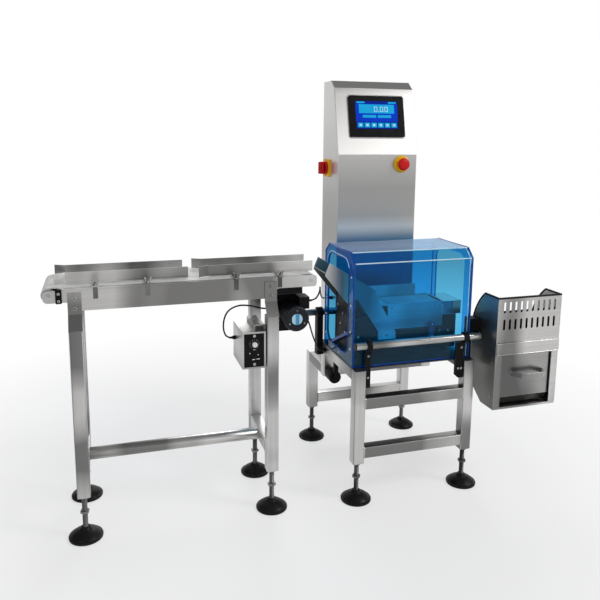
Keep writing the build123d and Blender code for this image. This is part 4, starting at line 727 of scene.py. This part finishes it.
dress("bin_body", stainless["x"], 0.5, edge=painted_edge_highlight)
dress("bin_edging", black_rubber, 1.4, 3)
dress("bin_drawer", drawer_steel, 0.6, edge=painted_edge_highlight)
dress("bin_bracket", black_metal, 0.8)
BIN_LEFT_X, BIN_RIGHT_X, BIN_FRONT_Y, BIN_LOW_Z, BIN_TOP_Z = 467.0, 706.0, -60.0, 291.0, 668.0
BIN_STRIP, HEADER_PROUD, HEADER_Z = 24.0, 4.0, (479.0, 519.0)
# Painted shade: a black sheet inside the bin, behind its lower slots, stands in for the shade in the bin's
# interior.
SHADE_SHEET_Y, SHADE_SHEET_Z, SHEET = (-21.5, -20.0), (484.0, 617.0), 1.5
shade_sheet = Shape()
shade_sheet.box(BIN_LEFT_X + SHEET, BIN_RIGHT_X - SHEET, *SHADE_SHEET_Y, *SHADE_SHEET_Z)
shade_sheet.piece("bin_shade_sheet", "machine", black_rubber, "black_rubber")

# Painted highlights: thin pale beads along the folds of the bin, the speed box and the infeed side plate.
fold_highlights = Shape()
for x in (BIN_LEFT_X + 0.2, BIN_RIGHT_X - 0.2):
    fold_highlights.bead([(x, BIN_FRONT_Y + 0.2, z) for z in (BIN_LOW_Z + 6, BIN_TOP_Z - 8)], 1.3)
for x in (BIN_LEFT_X + BIN_STRIP - 1.6, BIN_RIGHT_X - BIN_STRIP + 1.6):
    fold_highlights.bead([(x, BIN_FRONT_Y - 0.3, z) for z in (BIN_LOW_Z + 7, HEADER_Z[0])], 1.1)
for z in (HEADER_Z[0] + 1.6, HEADER_Z[1]):
    fold_highlights.bead([(x, BIN_FRONT_Y - HEADER_PROUD - 0.3, z) for x in (BIN_LEFT_X + 1, BIN_RIGHT_X - 1)], 1.1)
box_left, box_front, box_top = -355.4, 36.6, 594.4
fold_highlights.bead([(box_left, 175, box_top), (box_left, box_front, box_top), (-283.6, box_front, box_top)], 1.0)
fold_highlights.bead([(box_left, box_front, z) for z in (480, 594)], 1.0)
side_low, side_high = solid("infeed_side_plates")
fold_highlights.bead([(x, side_low.y + 0.2, side_high.z - 0.4) for x in (side_low.x + 40, side_high.x - 6)], 1.0)
fold_highlights.piece("fold_highlight_lines", "machine", painted_edge_highlight, "stainless", smooth=50)


# Infeed conveyor

dress("infeed_side_plates", stainless["x"], 0.5, edge=painted_edge_highlight)
dress("infeed_bed", stainless["x"], 0.5)
dress("infeed_belt", belt_cloth, 0)
dress("drive_roller", bright["y"], 0.4)
dress("tail_roller", bright["y"], 0.4)
dress("tail_brackets", stainless["x"], 0.5, edge=painted_edge_highlight)
dress("tension_clamps", black_metal, 0.8)
for guide in ("front_guide_1", "front_guide_2", "rear_guide_1", "rear_guide_2"):
    dress(guide, stainless["x"], 0.5, edge=painted_edge_highlight)
dress("guide_brackets", dark_zinc, 0.4, edge=painted_edge_highlight)
dress("motor_plate", black_metal, 0.8, edge=worn_edge)
dress("motor_pulley", aluminium, 0.3)
dress("timing_belt", black_rubber, 0)
dress("drive_cover", black_metal, 1.0)
dress("speed_box", stainless["z"], 1.4, 3, edge=painted_edge_highlight)
dress("speed_panel", black_plastic, 0.5)
PANEL_FRONT_Y = solid("speed_panel")[0].y
KNOB_X, KNOB_Z = -318.0, 556.0
DIAL_RADIUS, DIAL_FIRST, DIAL_STEP = 14, 225, 27
MARK_Y = (PANEL_FRONT_Y - 0.25, PANEL_FRONT_Y + 0.2)
marks = Shape()
for step in range(11):
    turn = radians(DIAL_FIRST - DIAL_STEP * step)
    x, z = KNOB_X + DIAL_RADIUS * cos(turn), KNOB_Z + DIAL_RADIUS * sin(turn)
    marks.box(x - 0.7, x + 0.7, *MARK_Y, z - 0.7, z + 0.7)
for left, low, wide, tall in ((-322, 538, 7, 1.2), (-334, 526, 3, 3), (-308, 520, 3, 3), (-325, 506, 9, 2.4),
                              (-311, 507, 10, 2.2)):
    marks.box(left, left + wide, *MARK_Y, low, low + tall)
marks.piece("panel_marks", "machine", white_plastic, "white_plastic")
dress("gear_motor", black_metal, 1.5, 3, edge=worn_edge)
MOTOR_X, MOTOR_Z, MOTOR_FRONT_Y = -188.0, 630.0, 20.0
CAP_RADIUS, BADGE_RADIUS = 39.6, 17.5
cap = Shape()
cap.turn("y", (MOTOR_X, MOTOR_FRONT_Y, MOTOR_Z), (
    (BADGE_RADIUS + 0.6, 1.4), (BADGE_RADIUS + 0.6, -0.6), (BADGE_RADIUS + 2.6, -1.0), (33, -0.9),
    (36.5, 0.2), (38.8, 2.2), (CAP_RADIUS, 5.2), (CAP_RADIUS, 15.4), (38.4, 17.2), (36.2, 17.4)), 72)
RIB_STEP = 20
for angle in range(0, 360, RIB_STEP):
    turn = radians(angle)
    rib = [(MOTOR_X + cos(turn + d) * r, MOTOR_Z + sin(turn + d) * r) for d, r in (
        (-0.035, 35.5), (0.035, 35.5), (0.028, 37.6), (-0.028, 37.6))]
    cap.prism("y", rib, MOTOR_FRONT_Y + 17, 96)
cap.piece("motor_cap", "machine", motor_enamel, "black_metal", smooth=40)

badge = Shape()
for rank, (left, right_edge, finish) in enumerate((
        (-1.0, -0.30, 0), (-0.30, 0.30, 1), (0.30, 1.0, 0))):
    edge = [left + (right_edge - left) * i / 10 for i in range(11)]
    top = [(MOTOR_X + u * BADGE_RADIUS, MOTOR_Z + (1 - u * u) ** 0.5 * BADGE_RADIUS) for u in edge]
    low = [(x, 2 * MOTOR_Z - z) for x, z in reversed(top)]
    outline = [point for i, point in enumerate(top + low) if i not in (0, 21) or rank == 1]
    badge.index = finish
    badge.prism("y", outline, MOTOR_FRONT_Y - 0.4, MOTOR_FRONT_Y + 1.2)
badge.piece("motor_badge", "machine", [pale_blue_plastic, mid_blue_plastic], "white_plastic")
cap_screw = Shape()
CAP_SCREW_RADIUS = 27
for turn in (radians(angle) for angle in (90, 210, 330)):
    bolt_head(cap_screw, "y", (
        MOTOR_X + CAP_SCREW_RADIUS * cos(turn), MOTOR_FRONT_Y - 0.8, MOTOR_Z + CAP_SCREW_RADIUS * sin(turn)),
              2.7, 1.6)
for dx in (-34, 34):
    for dz in (-34, 34):
        bolt_head(cap_screw, "y", (MOTOR_X + dx, 130, MOTOR_Z + dz), 3.4, 3.0)
cap_screw.piece("motor_screws", "machine", zinc, "bright_steel")
dress("wing_nuts", zinc, 0.3, edge=painted_edge_highlight)
dress("speed_knob", white_plastic, 0.4)
dress("screw_heads", zinc, 0.7, edge=painted_edge_highlight)
dress("estop_collar", yellow_plastic, 0.6)
BUTTON_LOW, BUTTON_HIGH = solid("estop_button")
button = Shape()
head_radius = (BUTTON_HIGH.x - BUTTON_LOW.x) / 2
button_centre = ((BUTTON_LOW.x + BUTTON_HIGH.x) / 2, BUTTON_HIGH.y, (BUTTON_LOW.z + BUTTON_HIGH.z) / 2)
head_depth = BUTTON_HIGH.y - BUTTON_LOW.y
button.turn("y", button_centre, [(r, -d) for r, d in (
    (0, 0), (12, 0), (12, head_depth - 15), (head_radius - 5, head_depth - 14),
    (head_radius - 0.6, head_depth - 11.5), (head_radius, head_depth - 9),
    (head_radius - 0.9, head_depth - 5.2), (head_radius - 4, head_depth - 2.2),
    (head_radius - 9.5, head_depth - 0.6), (5, head_depth), (0, head_depth))], 64)
button.piece("stop_button_head", "stop_button", red_plastic, "red_plastic", ("estop_button",), smooth=50)

dress("hmi_screen", screen_blue, 0)
SCREEN_LOW, SCREEN_HIGH = solid("hmi_screen")
SLOPE = atan2(SLOPE_RUN, SLOPE_RISE)
SCREEN_UP = Vector((0, sin(SLOPE), cos(SLOPE)))
SCREEN_OUT = Vector((0, -cos(SLOPE), sin(SLOPE)))
SCREEN_WIDTH, SCREEN_TALL, SCREEN_THICK = 162.0, 100.0, 1.5
screen_centre = (SCREEN_LOW + SCREEN_HIGH) / 2 + SCREEN_OUT * SCREEN_THICK / 2
layout = Shape()


def patch(finish, left, low, right_edge, high, proud=0.25):
    """Adds a lit patch; its edges are shares of the screen's width and height."""
    layout.index = finish
    corners = [
        screen_centre + AXES["x"] * (u - 0.5) * SCREEN_WIDTH + SCREEN_UP * (v - 0.5) * SCREEN_TALL
        for u, v in ((left, low), (right_edge, low), (right_edge, high), (left, high))
    ]
    layout.skin([[corner - SCREEN_OUT * 0.3 for corner in corners],
                 [corner + SCREEN_OUT * proud for corner in corners]])


BEZEL_LOW, BEZEL_HIGH = solid("hmi_bezel")
BEZEL_WIDTH, BEZEL_TALL, RIM_GAP, RIM_RADIUS = 212.0, 149.0, 3.5, 9.0
COLUMN_LEFT_X, COLUMN_RIGHT_X = 58.0, 363.0
BEND = Vector((0, 349.0, 1119.0))
bezel_middle = (BEZEL_LOW + BEZEL_HIGH) / 2
bezel_rise = (bezel_middle - BEND).dot(SCREEN_UP)
rim_width, rim_tall = BEZEL_WIDTH / 2 + RIM_GAP - RIM_RADIUS, BEZEL_TALL / 2 + RIM_GAP - RIM_RADIUS
# Painted highlights: a pale bead round the screen's bezel and a line along the column's bend.
column_highlight_lines = Shape()
column_highlight_lines.bead([
    BEND + AXES["x"] * (bezel_middle.x + across) + SCREEN_UP * (bezel_rise + rise)
    for across, rise in rounded_rectangle(rim_width, rim_tall, RIM_RADIUS, 5)], 1.3, closed=True)
column_highlight_lines.bead([(COLUMN_LEFT_X + 1.5, BEND.y, BEND.z), (COLUMN_RIGHT_X - 1.5, BEND.y, BEND.z)], 0.9)
column_highlight_lines.piece("column_highlight_lines", "machine", painted_edge_highlight, "stainless", smooth=50)

SEGMENTS = {"0": "abcdef", ".": "p"}


def digit(letter, left, low, wide, tall):
    """Draws one seven-segment figure."""
    bar, middle = 0.16 * wide, low + tall / 2
    far, high = left + wide, low + tall
    shapes = {
        "a": (left, high - 1.6 * bar, far, high), "d": (left, low, far, low + 1.6 * bar),
        "b": (far - bar, middle, far, high), "c": (far - bar, low, far, middle),
        "e": (left, low, left + bar, middle), "f": (left, middle, left + bar, high),
        "p": (left, low, left + 1.4 * bar, low + 2.2 * bar),
    }
    for key in SEGMENTS[letter]:
        patch(2, *shapes[key], 0.7)


patch(3, 0.0, 0.90, 1.0, 1.0)
patch(1, 0.03, 0.92, 0.22, 0.98, 0.45)
patch(1, 0.78, 0.92, 0.97, 0.98, 0.45)
patch(1, 0.08, 0.56, 0.92, 0.88)
for letter, left in (("0", 0.44), (".", 0.545), ("0", 0.58), ("0", 0.69)):
    digit(letter, left, 0.62, 0.075, 0.18)
patch(1, 0.16, 0.40, 0.48, 0.50)
patch(1, 0.52, 0.40, 0.84, 0.50)
patch(3, 0.0, 0.0, 1.0, 0.26)
for rank in range(6):
    left = 0.035 + rank * 0.16
    patch(1, left, 0.05, left + 0.13, 0.22, 0.45)
    patch(2, left + 0.04, 0.10, left + 0.09, 0.17, 0.65)
layout.piece("screen_layout", "machine", [screen_blue, screen_pale, screen_white, screen_dark], "screen")


# Floor, backdrop light and lamps

def sided_white(paint, path):
    """White for the camera and glass; in metal it is greyer midway out and on the machine's left."""
    split = paint.node("SeparateXYZ", Vector=paint.coordinates)
    left = paint.spread(split.outputs["X"], 0.25, 1.0, -2.2, -0.5)
    distance = paint.node("VectorMath", operation="LENGTH")
    paint.tree.links.new(paint.coordinates, distance.inputs[0])
    rings = paint.node("ValToRGB")
    paint.tree.links.new(paint.spread(distance.outputs["Value"], 0, 1, 0, 10), rings.inputs[0])
    stops = ((0.0, 0.70), (0.24, 0.82), (0.42, 0.50), (0.56, 0.44), (0.74, 0.74), (0.9, 0.96))
    fill_ramp(rings.color_ramp, greys(stops))
    both = paint.node("Math", operation="MULTIPLY")
    paint.tree.links.new(left, both.inputs[0])
    paint.tree.links.new(rings.outputs["Color"], both.inputs[1])
    mix = paint.node("Mix", data_type="RGBA")
    paint.tree.links.new(path.outputs["Is Glossy Ray"], mix.inputs[0])
    mix.inputs[6].default_value = (1, 1, 1, 1)
    paint.tree.links.new(both.outputs[0], mix.inputs[7])
    return mix.outputs[2]


def stage_floor():
    """A pale floor that keeps the shadow near the machine and fades to the white backdrop."""
    data = bpy.data.meshes.new("floor")
    reach = 14.0
    data.from_pydata([(-reach, -reach, 0), (reach, -reach, 0), (reach, reach, 0), (-reach, reach, 0)], [],
                     [(0, 1, 2, 3)])
    floor = bpy.data.objects.new("floor", data)
    bpy.context.scene.collection.objects.link(floor)
    paint = Paint("floor", (0.86, 0.86, 0.86), 0.6)
    distance = paint.node("VectorMath", operation="LENGTH")
    paint.tree.links.new(paint.coordinates, distance.inputs[0])
    fade = paint.spread(distance.outputs["Value"], 0.55, 1.0, 0.8, 1.9)
    path = paint.node("LightPath")
    seen = paint.node("Math", operation="ADD", use_clamp=True)
    paint.tree.links.new(path.outputs["Is Camera Ray"], seen.inputs[0])
    paint.tree.links.new(path.outputs["Is Glossy Ray"], seen.inputs[1])
    share = paint.node("Math", operation="MULTIPLY")
    paint.tree.links.new(fade, share.inputs[0])
    paint.tree.links.new(seen.outputs[0], share.inputs[1])
    glow = paint.node("Emission", Strength=1.0)
    paint.tree.links.new(sided_white(paint, path), glow.inputs["Color"])
    mix = paint.node("MixShader")
    paint.tree.links.new(share.outputs[0], mix.inputs[0])
    paint.tree.links.new(paint.shader.outputs[0], mix.inputs[1])
    paint.tree.links.new(glow.outputs[0], mix.inputs[2])
    paint.tree.links.new(mix.outputs[0], paint.tree.nodes["Material Output"].inputs["Surface"])
    data.materials.append(paint.material)


def studio_world():
    """White for what the camera sees, a soft grey gradient in metal, and a dim even fill."""
    world = bpy.data.worlds.new("studio")
    bpy.context.scene.world = world
    world.use_nodes = True
    tree = world.node_tree
    tree.nodes.clear()
    link = tree.links.new
    out = tree.nodes.new("ShaderNodeOutputWorld")
    path = tree.nodes.new("ShaderNodeLightPath")
    place = tree.nodes.new("ShaderNodeTexCoord")
    split = tree.nodes.new("ShaderNodeSeparateXYZ")
    link(place.outputs["Generated"], split.inputs[0])

    def ramp(axis, stops):
        """Greys along one axis of the direction, from -1 to 1."""
        reach = tree.nodes.new("ShaderNodeMapRange")
        reach.inputs["From Min"].default_value = -1
        link(split.outputs[axis], reach.inputs["Value"])
        made = tree.nodes.new("ShaderNodeValToRGB")
        link(reach.outputs[0], made.inputs[0])
        fill_ramp(made.color_ramp, greys(stops))
        return made.outputs["Color"]

    upright = ramp("Z", ((0.0, 0.5), (0.50, 0.9), (0.58, 1.0), (0.68, 0.62), (0.82, 0.30), (1.0, 0.36)))
    sideways = ramp("X", ((0.0, 0.22), (0.16, 0.30), (0.40, 0.95), (0.7, 1.0), (1.0, 0.8)))
    product = tree.nodes.new("ShaderNodeMix")
    product.data_type, product.blend_type = "RGBA", "MULTIPLY"
    product.inputs[0].default_value = 1.0
    link(upright, product.inputs[6])
    link(sideways, product.inputs[7])

    fill, mirror, white = (tree.nodes.new("ShaderNodeBackground") for _ in range(3))
    fill.inputs["Color"].default_value = (0.95, 0.97, 1.0, 1)
    fill.inputs["Strength"].default_value = 0.50
    link(product.outputs[2], mirror.inputs["Color"])
    mirror.inputs["Strength"].default_value = 1.0
    white.inputs["Color"].default_value = (1, 1, 1, 1)

    first, second = (tree.nodes.new("ShaderNodeMixShader") for _ in range(2))
    link(path.outputs["Is Glossy Ray"], first.inputs[0])
    link(fill.outputs[0], first.inputs[1])
    link(mirror.outputs[0], first.inputs[2])
    seen = tree.nodes.new("ShaderNodeMath")
    seen.operation, seen.use_clamp = "ADD", True
    link(path.outputs["Is Camera Ray"], seen.inputs[0])
    link(path.outputs["Is Transmission Ray"], seen.inputs[1])
    link(seen.outputs[0], second.inputs[0])
    link(first.outputs[0], second.inputs[1])
    link(white.outputs[0], second.inputs[2])
    link(second.outputs[0], out.inputs["Surface"])


def lamp(name, place, target, size, power, colour=(1, 1, 1)):
    """Adds one soft area lamp that looks at a point."""
    light = bpy.data.lights.new(name, "AREA")
    light.shape, light.size, light.energy, light.color = "DISK", size, power, colour
    made = bpy.data.objects.new(name, light)
    made.location = place
    made.rotation_euler = (Vector(target) - Vector(place)).to_track_quat("-Z", "Y").to_euler()
    bpy.context.scene.collection.objects.link(made)


stage_floor()
studio_world()
lamp("key", (3.2, -2.2, 3.4), (0, 0, 0.6), 1.4, 70, (1.0, 0.985, 0.96))
lamp("fill", (-2.6, -2.4, 2.2), (0, 0, 0.6), 2.0, 10, (0.95, 0.97, 1.0))
lamp("back", (0.6, 2.8, 2.6), (0, 0, 0.7), 1.8, 30)
bpy.context.scene.view_settings.view_transform = "Standard"
